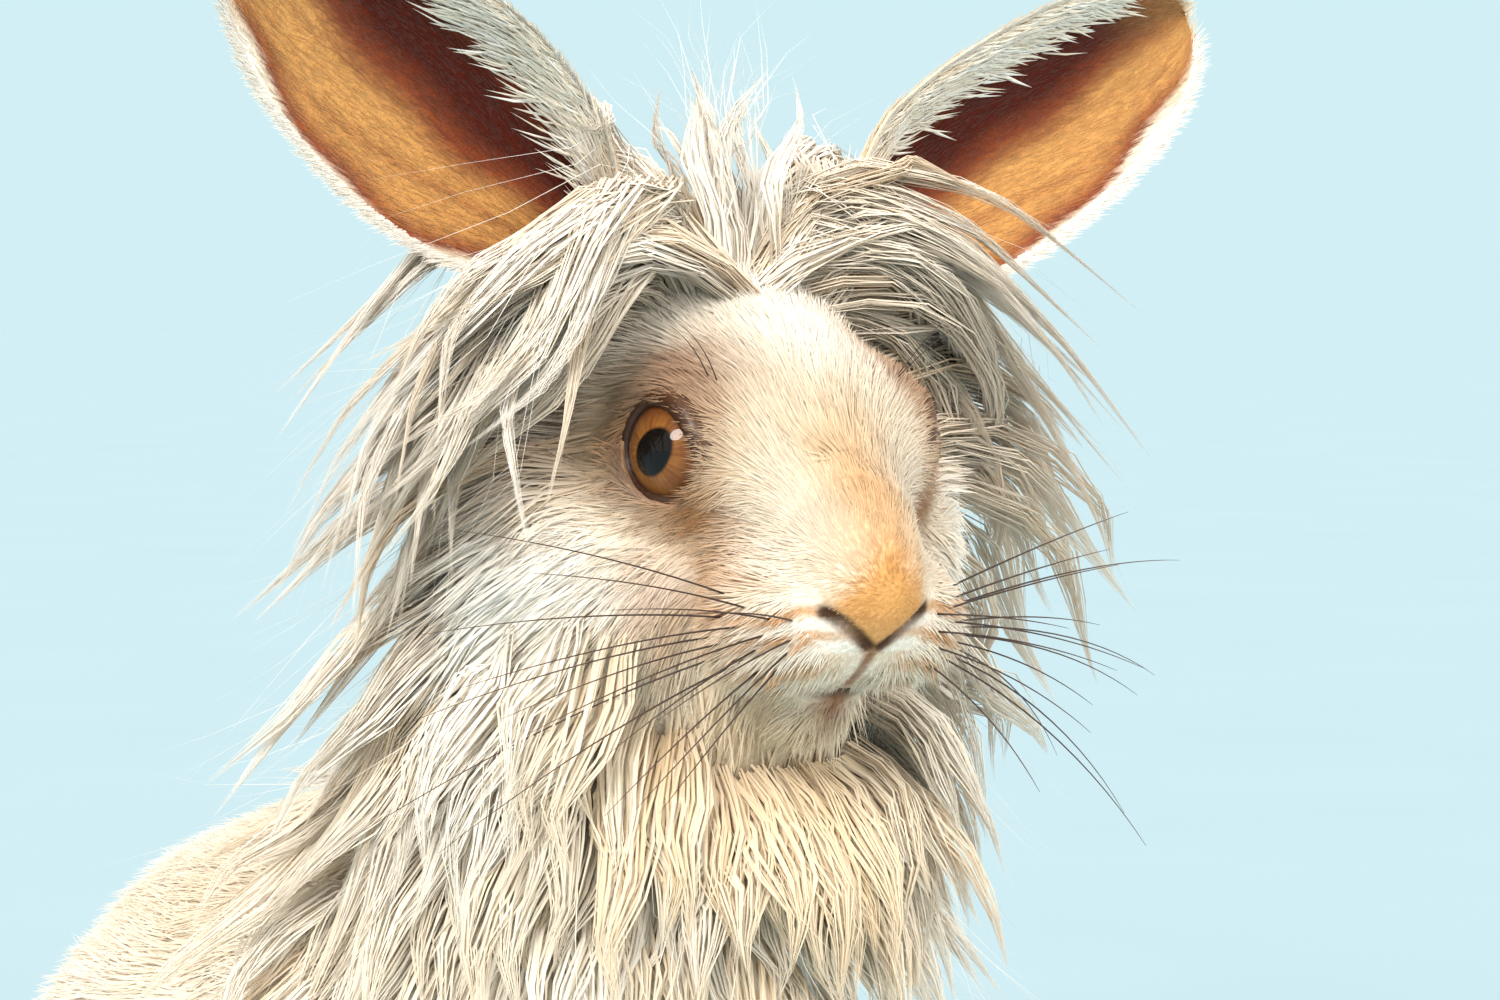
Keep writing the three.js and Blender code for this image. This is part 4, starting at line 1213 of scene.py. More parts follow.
    def fluff(self, scatter: Scatter, seed: int) -> Tufts:
        """Longer bent tufts on cheeks, jaws and throat, which grow longer towards the mane.

        Each runs along root + L (t d + t^2 g): d leans out of the skin, and g pulls it down and
        together with its neighbours.

        Args:
            scatter: the roots and the skin's normals.
            seed: of the draw.

        Returns:
            The tufts, with the markings' colours.
        """
        rng = np.random.default_rng(seed)
        points, normals = scatter.points, scatter.normals
        local = self.rabbit.head.inwards(points)
        count = len(points)
        reach = smooth(-24.0, 8.0, local[:, 1])
        jowl = reach * smooth(-5.0, -20.0, local[:, 2])
        length = mix(6.0, self.fluff_length, reach) + self.jowl_length * jowl
        length = length * rng.uniform(0.7, 1.15, count)
        flow = self.flow(Lie.NOSE, points) + reach[:, None] * np.array([0.0, 0.1, -0.5])
        along = tangential(flow + rng.normal(0, 0.12, (count, 3)), normals)
        start = unit(along + normals * (mix(0.3, 1.0, reach) * rng.uniform(0.6, 1.25, count))[:, None])
        clump = gathering(points, 5.5, 23) * 0.5 + gathering(points, 11.0, 24) * 0.35
        pull = (unit(along - 0.25 * UP) - start) * 0.4 + clump * 0.3
        t = np.linspace(0.0, 1.0, 3)[None, :, None]
        paths = (points - normals * self.sunk)[:, None] + length[:, None, None] * (
            start[:, None] * t + pull[:, None] * t * t
        )
        widths = taper(3, 0.9, 0.4)[None] * (mix(0.24, 0.36, reach) * rng.uniform(0.7, 1.3, count))[:, None]
        tints = coat_tints(self.markings.at(points), 3, rng, 0.9, 0.06)
        return Tufts(paths, widths, normals, tints, self.unwrap(points, self.rabbit.shares(points)))

    def unwrap(self, points: Array, shares: dict[str, Array]) -> Array:
        """Bake places from 0 to 1: the head as a globe, the trunk as a drum, each limb as a strip."""
        local = self.rabbit.head.inwards(points)
        tilt = np.arccos(np.clip(local[:, 2] / np.linalg.norm(local, axis=1), -1, 1))
        globe = np.stack([turn_share(local[:, 0], -local[:, 1]), tilt / math.pi], axis=1)
        x, y, z = points.T
        drum = np.stack([turn_share(x, z - 60.0), (y + 110.0) / 230.0], axis=1)
        hind = y >= -20.0
        turn = turn_share(np.abs(x) - np.where(hind, 38.0, 22.0), y - np.where(hind, 40.0, -50.0))
        limb = np.stack([((x <= 0) + 2.0 * hind + turn) / 4.0, z / 100.0], axis=1)
        on_limb = sum(shares[name] for name in ("thigh", "arm", "hind_foot", "fore_foot")) > 0.5
        places = np.where(on_limb[:, None], limb, drum)
        return np.clip(np.where(shares["head"][:, None] > 0.5, globe, places), 0.002, 0.998)

    def density(self, group: Group, points: Array) -> Array:
        """How many tufts a square millimetre gets at each place, in one group of parts."""
        shares = self.rabbit.shares(points)
        local = self.rabbit.head.inwards(points)
        limbs = sum(shares[name] for name in ("arm", "hind_foot", "fore_foot"))
        on_head = np.where(shares["head"] > 0.5, 1.0, 0.0)
        from_eye = self.rabbit.head.from_eye(local)
        if group is Group.CHEEKS:
            below = smooth(9.0, 0.0, local[:, 2]) * smooth(-26.0, -16.0, local[:, 1])
            below = below * smooth(30.0, 20.0, local[:, 1])
            below = below * smooth(13.0, 18.0, from_eye)
            return self.fluff_density * below * on_head
        if group is Group.LIMBS:
            return self.limb_density * np.where(limbs > 0.5, 1.0, 0.0)
        if group is Group.FACE:
            front = 1.0 - 0.85 * smooth(self.hairline + 4.0, self.hairline + 20.0, local[:, 1])
            clear = smooth(9.5, 10.2, from_eye)
            clear = clear * smooth(0.2, 1.3, self.rabbit.head.from_grooves(local))
            hidden = smooth(-2.0, -8.0, local[:, 2]) * smooth(-16.0, -8.0, local[:, 1])
            return self.face_density * front * clear * (1.0 - 0.7 * hidden) * on_head
        under_mane = smooth(-24.0, -40.0, points[:, 1]) * smooth(62.0, 84.0, points[:, 2])
        on_trunk = (limbs <= 0.5) & (on_head == 0.0)
        return self.trunk_density * np.where(on_trunk, 1.0 - 0.85 * under_mane, 0.0)


# The mane


class Sweep(Enum):
    """Which way a lock of the mane runs as it grows."""

    CHEEK = "cheek"
    CROWN = "crown"
    WISP = "wisp"
    NAPE = "nape"
    COLLAR = "collar"


@dataclass(frozen=True)
class Row:
    """One row of locks: where its roots lie, and the locks' number on each side and sizes."""

    name: str
    sweep: Sweep
    ring: Pair
    angles: Pair
    count: int
    length: float
    rise: float
    width: float
    strands: int
    swing: float
    rings: int = 6
    on_neck: bool = False


@dataclass
class Mane:
    """Long waved locks, each a bundle of strands that follow one guide and close to a point."""

    rabbit: Rabbit
    markings: Markings
    ears: Sequence["Ear"]
    rows: tuple = (
        Row("ruff", Sweep.CHEEK, (9, 24), (46, 170), 40, 50, 28, 5.4, 36, 0.7),
        Row("temple", Sweep.CROWN, (11, 25), (20, 44), 28, 66, 27, 4.6, 42, 1.1, 8),
        Row("crown", Sweep.CROWN, (7, 26), (1, 14), 36, 94, 37, 4.4, 44, 1.2, 8),
        Row("wisps", Sweep.WISP, (9, 22), (0, 13), 8, 34, 28, 2.4, 16, 0.8, 8),
        Row("poll", Sweep.NAPE, (24, 34), (0, 70), 24, 58, 13, 5.4, 30, 0.7),
        Row("collar_top", Sweep.COLLAR, (0.98, 1.2), (62, 180), 26, 48, 18, 5.6, 26, 0.6, 6, True),
        Row("collar_high", Sweep.COLLAR, (0.68, 1.0), (0, 180), 38, 46, 12, 5.6, 30, 0.4, 6, True),
        Row("collar", Sweep.COLLAR, (0.32, 0.7), (0, 170), 38, 48, 18, 5.6, 30, 0.4, 6, True),
        Row("bib", Sweep.COLLAR, (0.0, 0.34), (0, 150), 34, 44, 16, 5.6, 30, 0.4, 6, True),
    )
    steps: int = 18
    waves: float = 7.4
    bulges: Pair = (0.85, 0.35)
    sharpest: float = 0.5
    smoothings: int = 6
    crowding: float = 1.25
    strand_width: float = 0.3
    softness: float = 0.6
    lightness: float = 0.45
    fine_hairs: int = 700
    stray_rings: int = 6
    stray_reach: Pair = (4.0, 20.0)
    stray_width: float = 0.11
    ear_room: float = 5.0

    def ways(self, row: Row, sides: Array, rng: Draw) -> dict[str, Array]:
        """Roots and named directions of one row's guides, drawn between the row's rings and angles."""
        count = len(sides)
        order = (np.arange(count) // 2 + rng.uniform(0.1, 0.9, count)) / (count / 2)
        ring = mix(*row.ring, rng.uniform(0, 1, count))
        angle = np.radians(mix(*row.angles, order)) * sides
        ring = np.minimum(ring, mix(0.62, 1.3, smooth(0.35, 1.3, np.abs(angle)))) if row.on_neck else ring
        if row.on_neck:
            low, high = np.array(self.rabbit.body.neck_low), np.array(self.rabbit.body.neck_high)
            middle = mix(low, high, ring[:, None])
            behind = smooth(0.1, 0.95, -np.cos(angle))
            away = unit(np.stack([np.sin(angle), -np.cos(angle), 0.7 * behind], axis=1))
            loft = mix(1.0, 0.34, behind)
            back = np.repeat(BACK[None], count, axis=0)
        else:
            head = self.rabbit.head
            middle = head.outwards(np.stack([0 * ring, ring, 0 * ring], axis=1))
            away = head.turned(np.stack([np.sin(angle), 0 * angle, np.cos(angle)], axis=1))
            loft = np.ones(count)
            back = np.repeat(head.turned(BACK)[None], count, axis=0)
        root = march(self.rabbit.under_mane, middle, away)
        side = np.stack([sides, 0 * sides, 0 * sides], axis=1)
        return {"root": root, "away": away, "back": back, "side": side, "loft": loft[:, None],
                "order": order[:, None], "angle": np.abs(angle)[:, None]}

    def lie(self, row: Row, ways: dict[str, Array], share: float) -> Array:
        """The direction of each guide at a share of its length, a mix of its named directions."""
        away, back, side = ways["away"], ways["back"], ways["side"]
        if row.sweep is Sweep.CHEEK:
            return unit((1.0 - 0.55 * share) * away + 0.12 * back + (-0.2 - 1.0 * share) * UP)
        if row.sweep is Sweep.CROWN:
            over = 1.0 - 0.9 * float(smooth(0.4, 0.95, share))
            return unit(over * side + 0.25 * back + (0.55 - 1.75 * float(smooth(0.02, 0.72, share))) * UP)
        if row.sweep is Sweep.WISP:
            return unit(UP + (0.5 * share - 0.1) * side + 0.1 * back)
        if row.sweep is Sweep.NAPE:
            return unit(0.3 * back + 0.3 * away + (-0.3 - 1.1 * share) * UP)
        behind = (1.0 - ways["loft"]) / 0.66
        return unit(0.75 * ways["loft"] * away + (-0.45 - 0.75 * share) * UP + 1.1 * behind * BACK)

    def from_ears(self, points: Array) -> Array:
        """The distance from the roots of both ears."""
        local = self.rabbit.head.inwards(points)
        return np.minimum(*[ear.root_distance(local) for ear in self.ears])

    def guides(self, row: Row, rng: Draw) -> dict[str, Array]:
        """The middle lines of one row's locks.

        Each grows step by step along its lie, swings to the side by a sine of its length, is held
        off the body by rise * share^0.7, and kept off the ears' roots. On cheeks and collar the rise
        grows at the sides, most on the left, where the head's turn leaves the mane loose. Guides
        with a bend whose cosine is not over the sharpest allowed are left out.

        Args:
            row: the row.
            rng: the draw.

        Returns:
            The row's ways with "path", places by guide and step, and "out", the way out of the body.
        """
        count = row.count * 2
        sides = np.tile([1.0, -1.0], row.count)
        ways = self.ways(row, sides, rng)
        length = row.length * rng.uniform(0.72, 1.12, (count, 1))
        rise = row.rise * ways["loft"] * rng.uniform(0.32, 1.05, (count, 1)) ** 0.8
        if row.sweep in (Sweep.CHEEK, Sweep.COLLAR):
            fullest = math.radians(100.0 if row.sweep is Sweep.CHEEK else 58.0)
            bulge = np.where(sides[:, None] > 0, *self.bulges)
            rise = rise * (1.0 + bulge * bell(ways["angle"] - fullest, 0.6))
        phase = rng.uniform(0, 2 * math.pi) + ways["order"] * 9.0 + rng.normal(0, 0.6, (count, 1))
        speed = self.waves * rng.uniform(0.85, 1.2, (count, 1))
        stride = length / self.steps
        place = ways["root"].copy()
        out = outward(self.rabbit.under_mane, place)
        path, outs = [place - out * 2.5], [out]
        for step in range(1, self.steps + 1):
            share = step / self.steps
            lie = self.lie(row, ways, share)
            across = unit(np.cross(lie, out))
            place = place + lie * stride
            sway = stride * row.swing * mix(0.4, 1.0, share)
            place = place + across * sway * np.sin(phase + share * speed)
            place = place + out * sway * 0.5 * np.sin(1.3 * phase + share * speed)
            out = outward(self.rabbit.under_mane, place)
            short = rise * share**0.7 - self.rabbit.under_mane(place)[:, None]
            place = place + out * np.where(short > 0, short, short * 0.18)
            crowded = np.maximum(self.ear_room - self.from_ears(place)[:, None], 0.0)
            place = place + outward(self.from_ears, place) * crowded
            path.append(place)
            outs.append(out)
        path = np.stack(path, axis=1)
        for _ in range(self.smoothings):
            path[:, 1:-1] = (path[:, :-2] + 2.0 * path[:, 1:-1] + path[:, 2:]) / 4.0
        ahead = unit(np.diff(self.resample(path, self.shares(row.rings).repeat(count, 0)), axis=1))
        even = np.sum(ahead[:, 1:] * ahead[:, :-1], axis=2).min(axis=1) > self.sharpest
        guides = {**ways, "path": path, "out": np.stack(outs, axis=1)}
        return {name: values[even] for name, values in guides.items()}

    def shares(self, rings: int) -> Array:
        """Where a strand's rings lie along it, closer together at the root, where it bends most."""
        return np.linspace(0.0, 1.0, rings)[None] ** self.crowding

    def resample(self, path: Array, share: Array) -> Array:
        """Places on paths at the given shares of their steps, by straight mixes of the two nearest."""
        last = path.shape[1] - 1
        where = np.clip(share * last, 0, last - 1e-6)
        index = where.astype(int)
        rest = (where - index)[..., None]
        each = np.arange(len(path))[:, None]
        return mix(path[each, index], path[each, index + 1], rest)

    def bundle(self, row: Row, guides: dict[str, Array], rng: Draw) -> Tufts:
        """The strands of one row: each keeps its own place round its guide and closes in on it."""
        locks = len(guides["path"])
        owner = np.repeat(np.arange(locks), row.strands)
        count = len(owner)
        ends = rng.uniform(0.84, 1.03, (count, 1))
        share = ends * self.shares(row.rings)
        path = self.resample(guides["path"][owner], np.clip(share, 0, 1))
        out = self.resample(guides["out"][owner], np.clip(share, 0, 1))
        ahead = unit(np.gradient(path, axis=1))
        out = tangential(out, ahead)
        across = np.cross(out, ahead)
        reach = np.sqrt(rng.uniform(0, 1, (count, 1)))
        turn = rng.uniform(0, 2 * math.pi, (count, 1))
        swell = mix(0.75, 1.0, smooth(0.0, 0.4, share)) * (1.0 - 0.95 * smooth(0.3, 1.0, share))
        wave = 0.16 * row.swing * np.sin(share * 9.0 + rng.uniform(0, 6.3, (count, 1)))
        side_step = row.width * swell * (reach * np.cos(turn) + wave)
        out_step = row.width * 0.42 * swell * (reach * np.sin(turn) + wave[:, ::-1])
        path = path + across * side_step[..., None] + out * out_step[..., None]
        path = path + rng.normal(0, 0.06, path.shape) * share[..., None]
        widths = taper(row.rings, 0.7, 0.4)[None] * self.strand_width * rng.uniform(0.7, 1.3, (count, 1))
        base = self.markings.at(guides["root"][owner])
        lock_tone = 1.0 + rng.uniform(-0.05, 0.04, (locks, 1))[owner]
        warm = rng.uniform(0.0, 1.0, (locks, 1))[owner] ** 3
        base = mix(base * lock_tone, self.markings.palette.fawn, 0.14 + 0.5 * warm)
        tints = coat_tints(base, row.rings, rng, 0.9, 0.05)
        facing = unit(out + self.lightness * UP)
        return Tufts(path, widths, facing, tints, self.unwrap(guides["root"][owner]), self.softness)

    def unwrap(self, points: Array) -> Array:
        """Bake places from 0 to 1: the angle round the neck's line, and the height with the depth."""
        turn = turn_share(points[:, 0], self.rabbit.body.neck_high[1] - points[:, 1])
        height = (points[:, 2] - 60.0) / 150.0
        return np.clip(np.stack([turn, height], axis=1), 0.002, 0.998)

    def grow(self) -> list[Tufts]:
        """All rows' locks, those with equally many rings as one."""
        rng = np.random.default_rng(SEED)
        made = [(row.rings, self.bundle(row, self.guides(row, rng), rng)) for row in self.rows]
        return [gathered([lot for rings, lot in made if rings == wanted]) for wanted in sorted(dict(made))]

    def strays(self) -> Tufts:
        """Single fine hairs that leave the locks: guides of the same rows, longer and looser."""
        rng = np.random.default_rng(SEED + 1)
        lots = []
        for row in self.rows:
            guides = self.guides(row, rng)
            chosen = rng.integers(0, len(guides["path"]), self.fine_hairs // len(self.rows))
            path = guides["path"][chosen]
            share = np.linspace(0.0, 1.0, self.stray_rings)[None].repeat(len(chosen), 0)
            out = self.resample(guides["out"][chosen], share)
            place = self.resample(path, share)
            away = unit(out + rng.normal(0, 0.7, (len(chosen), 1, 3)))
            drift = away * rng.uniform(*self.stray_reach, (len(chosen), 1, 1))
            place = place + drift * share[..., None] ** 2 + rng.normal(0, 0.5, place.shape) * share[..., None]
            widths = taper(self.stray_rings, 0.8, 0.3)[None] * self.stray_width * np.ones((len(chosen), 1))
            tints = coat_tints(self.markings.at(guides["root"][chosen]), self.stray_rings, rng, 0.8, 0.05)
            bake = self.unwrap(guides["root"][chosen])
            lots.append(Tufts(place, widths, unit(out + self.lightness * UP), tints, bake, self.softness))
        return gathered(lots)


# Ears


EAR_PLANS = {
    "left": ((13, 22, 24), (0.84, 0.06, 0.54), (0.05, -0.94, 0.1)),
    "right": ((-13, 22, 24), (-0.78, 0.1, 0.62), (-0.3, -0.95, -0.15)),
}


@dataclass(frozen=True)
class Down:
    """One kind of an ear's hair: its number, its stretch of the ear, and its lengths, lifts and width."""

    count: int
    along: Pair
    length: Pair
    lift: Pair
    width: float
    rings: int = 2
    shortening: float = 0.0


@dataclass
class Ear:
    """One ear: a sheet rolled into a tube at its base and opened into a cup above it."""

    name: str
    head: Head
    palette: Palette
    at: Triple
    along: Triple
    open: Triple
    length: float = 86.0
    root_depth: float = 8.0
    half_girth: Pair = (12.0, 22.5)
    roll: Pair = (math.radians(150.0), math.radians(52.0))
    thickness: float = 1.5
    inset: float = 0.6
    widest: float = 0.5
    bow: float = 5.0
    root_reach: float = 30.0
    root_radii: Pair = (8.5, 13.0)
    columns: int = 40
    rows: int = 84
    softness: float = 0.35
    back: Down = Down(8000, (0.1, 0.985), (3.2, 5.6), (0.14, 0.32), 0.3)
    cup: Down = Down(6000, (0.12, 0.98), (1.6, 3.2), (0.1, 0.28), 0.2)
    rim: Down = Down(3000, (0.1, 0.985), (1.8, 4.2), (0.1, 0.5), 0.24)
    front: Down = Down(3200, (0.08, 0.88), (6.0, 13.5), (0.25, 0.75), 0.34, 3, 0.45)

    def __post_init__(self) -> None:
        """Works out the ear's own directions in the head's frame."""
        self.axis = unit(np.array(self.along, float))
        face = np.array(self.open, float)
        self.face = unit(face - self.axis * (face @ self.axis))
        self.across = np.cross(self.face, self.axis)
        self.start = np.array(self.at, float) - self.axis * self.root_depth

    def root_distance(self, local: Array) -> Array:
        """The distance from the root of the ear, in the head's frame."""
        end = np.array(self.at) + self.axis * self.root_reach
        return Rod(self.at, self.root_radii[0], tuple(end), self.root_radii[1]).distance(local)

    def sheet(self, u: Array, v: Array, inside: Array | bool) -> Array:
        """Places on the ear, in the head's frame.

        The girth grows to the widest place and closes as sqrt(1 - t^2.4) to the tip. Each cross
        section is an arc of the roll's angle, whose radius is the girth over the roll, and inside
        moves the place from the outer face, 0, to the inner, 1.

        Args:
            u: from 0 to 1 across the sheet.
            v: from 0 to 1 along it.
            inside: from 0, the outer face, to 1, the inner.

        Returns:
            The places.
        """
        girth = mix(*self.half_girth, smooth(0.0, 0.55, v))
        near_tip = np.maximum(v - self.widest, 0.0) / (1.0 - self.widest)
        half = girth * np.maximum(np.sqrt(np.maximum(1.0 - near_tip**2.4, 0.0)), 0.03) - self.inset
        half = np.maximum(half, 0.25)
        roll = mix(*self.roll, smooth(0.04, 0.4, v))
        radius, angle = half / roll, (2.0 * u - 1.0) * roll
        edge = np.abs(2.0 * u - 1.0)
        thick = self.thickness * mix(1.0, 0.42, edge**3) * mix(1.0, 0.5, v)
        bow = self.bow * np.sin(math.pi * v * 0.9)
        reach = v * (self.length + self.root_depth - self.inset)
        wall = inside * thick + (1 - inside) * self.inset * 0.3
        lift = radius * (1.0 - np.cos(angle)) - bow + np.cos(angle) * wall
        side = radius * np.sin(angle) - np.sin(angle) * inside * thick
        crease = 0.5 * np.sin(v * 7.0 + u * 3.0) * smooth(0.15, 0.4, v) * (1.0 - near_tip)
        return (
            self.start
            + self.axis * reach[..., None]
            + self.face * (lift + crease)[..., None]
            + self.across * side[..., None]
        )

    def tint(self, u: Array, v: Array, inside: bool) -> Array:
        """Bands across the cup from the middle of the head outwards: cream, maroon, russet, tan, cream; the
        maroon near the cup's deep middle and at its base is painted shade in the hollow, over the skin's own
        russet and tan.
        """
        colours = self.palette
        medial = 1.0 - u if self.name == "left" else u
        outer = np.broadcast_to(mix(colours.cream, colours.fawn, 0.15), (*np.shape(u), 3))
        if not inside:
            streak = 0.3 + 0.3 * np.sin(v * 5.0 + u * 4.0)
            return mix(outer, colours.fawn, (0.6 * streak * v)[..., None])
        wander = 0.035 * np.sin(v * 9.0) + 0.02 * np.sin(v * 23.0 + 1.0)
        place = medial + wander
        # The maroon stops lie near the cup's deep middle: painted shade in the hollow.
        stops = [
            (0.0, colours.cream), (0.12, colours.fawn), (0.2, colours.russet), (0.3, colours.maroon),
            (0.44, colours.maroon), (0.55, colours.russet), (0.66, colours.tan), (0.84, colours.tan * 0.9),
            (0.93, colours.russet), (0.97, colours.cream), (1.0, colours.white),
        ]
        shares = np.array([stop for stop, _ in stops])
        table = np.stack([colour for _, colour in stops])
        bands = np.stack([np.interp(place, shares, table[:, i]) for i in range(3)], axis=-1)
        strokes = np.sin(medial * 46.0 + 3.0 * np.sin(v * 6.0)) * np.sin(medial * 19.0 - v * 7.0)
        strokes = 0.45 * np.clip(strokes, 0, 1) * bell(medial - 0.72, 0.2)
        bands = mix(bands, colours.russet, strokes[..., None])
        # Painted shade: maroon deep in the rolled base of the ear.
        deep = mix(bands, colours.maroon, (0.75 * (1.0 - smooth(0.05, 0.32, v)))[..., None])
        return mix(deep, colours.tan, (0.55 * smooth(0.8, 1.0, v))[..., None])

    def skin(self) -> Surface:
        """The ear's bare sheet, closed round its rim, in the animal's space."""
        across = np.linspace(0.0, 1.0, self.columns)
        u = np.concatenate([across, across[::-1]])
        v = np.linspace(0.0, 1.0, self.rows) ** 0.9
        inside = np.concatenate([np.zeros(self.columns), np.ones(self.columns)])
        grid_v, grid_u = np.meshgrid(v, u, indexing="ij")
        outer, inner = (self.tint(grid_u, grid_v, face) for face in (False, True))
        rings = self.head.outwards(self.sheet(grid_u, grid_v, inside))
        return tube(rings, np.where(inside[:, None] > 0.5, inner, outer))

    def strand(
        self, kind: Down, u: Array, v: Array, inside: bool, aslant: Array, rng: Draw,
        tints: Array | None = None,
    ) -> Tufts:
        """Tufts of one kind on one face of the ear.

        Args:
            kind: of hair.
            u, v: where the roots are, across and along the sheet.
            inside: whether on the inner face.
            aslant: how far each tuft runs across the sheet for each step along it.
            rng: the draw.
            tints: root colours, or none for the sheet's own.

        Returns:
            The tufts.
        """
        step = 0.01
        length = rng.uniform(*kind.length, kind.count) * (1.0 - kind.shortening * v)
        lift = rng.uniform(*kind.lift, kind.count)
        root = self.sheet(u, v, inside)
        along = unit(self.sheet(u, np.minimum(v + step, 1.0), inside) - self.sheet(u, v - step, inside))
        aside = unit(self.sheet(u + step, v, inside) - self.sheet(u - step, v, inside))
        normal = unit(np.cross(aside, along))
        normal = np.where(dot(normal, np.broadcast_to(self.face, normal.shape)) < 0, -normal, normal)
        normal = normal if inside else -normal
        way = tangential(aside * aslant[:, None] + along + rng.normal(0, 0.15, root.shape), normal)
        start = unit(way + normal * lift[:, None])
        t = np.linspace(0.0, 1.0, kind.rings)[None, :, None]
        sag = way - start
        paths = root[:, None] + length[:, None, None] * (start[:, None] * t + 0.45 * sag[:, None] * t * t)
        paths = self.head.outwards(paths)
        facing = self.head.turned(normal)
        widths = taper(kind.rings, 0.8, 0.35)[None] * kind.width * rng.uniform(0.7, 1.3, (kind.count, 1))
        base = tints if tints is not None else self.tint(u, v, inside)
        bake = np.stack([mix(0.02, 0.48, u) + 0.5 * inside, mix(0.02, 0.98, v)], axis=1)
        shades = coat_tints(base, kind.rings, rng, 0.88, 0.07)
        return Tufts(paths, widths, facing, shades, bake, self.softness)

    def fur(self) -> list[Tufts]:
        """Short fur on the back, finer fur inside and a pale fringe round the rim; then the front band."""
        rng = np.random.default_rng(SEED + (7 if self.name == "left" else 8))
        colours, draw = self.palette, rng.uniform
        medial_edge, toward = (1.0, -1.0) if self.name == "left" else (0.0, 1.0)
        n = self.back.count
        u, v = draw(0.02, 0.98, n), draw(*self.back.along, n)
        back = self.strand(self.back, u, v, False, 0.25 * (u - 0.5), rng)
        n = self.cup.count
        u, v = draw(0.04, 0.96, n), draw(*self.cup.along, n)
        cup = self.strand(self.cup, u, v, True, 0.5 * (u - 0.5), rng)
        n = self.rim.count
        edge = np.where(draw(0, 1, n) < 0.5, 0.0, 1.0)
        u, v = np.abs(edge - draw(0.0, 0.03, n)), draw(*self.rim.along, n)
        pale = np.broadcast_to(colours.white, (n, 3))
        fringe = self.strand(self.rim, u, v, True, np.where(edge > 0.5, 0.8, -0.8), rng, pale)
        n = self.front.count
        v = draw(*self.front.along, n) ** 1.15
        u = np.abs(medial_edge - np.abs(rng.normal(0.0, 0.085, n)))
        aslant = toward * draw(-0.1, 0.75, n)
        cream = mix(colours.white, colours.cream, draw(0.0, 0.9, n)[:, None])
        band = self.strand(self.front, u, v, True, aslant, rng, cream)
        return [gathered([back, cup, fringe]), band]


# Eyes


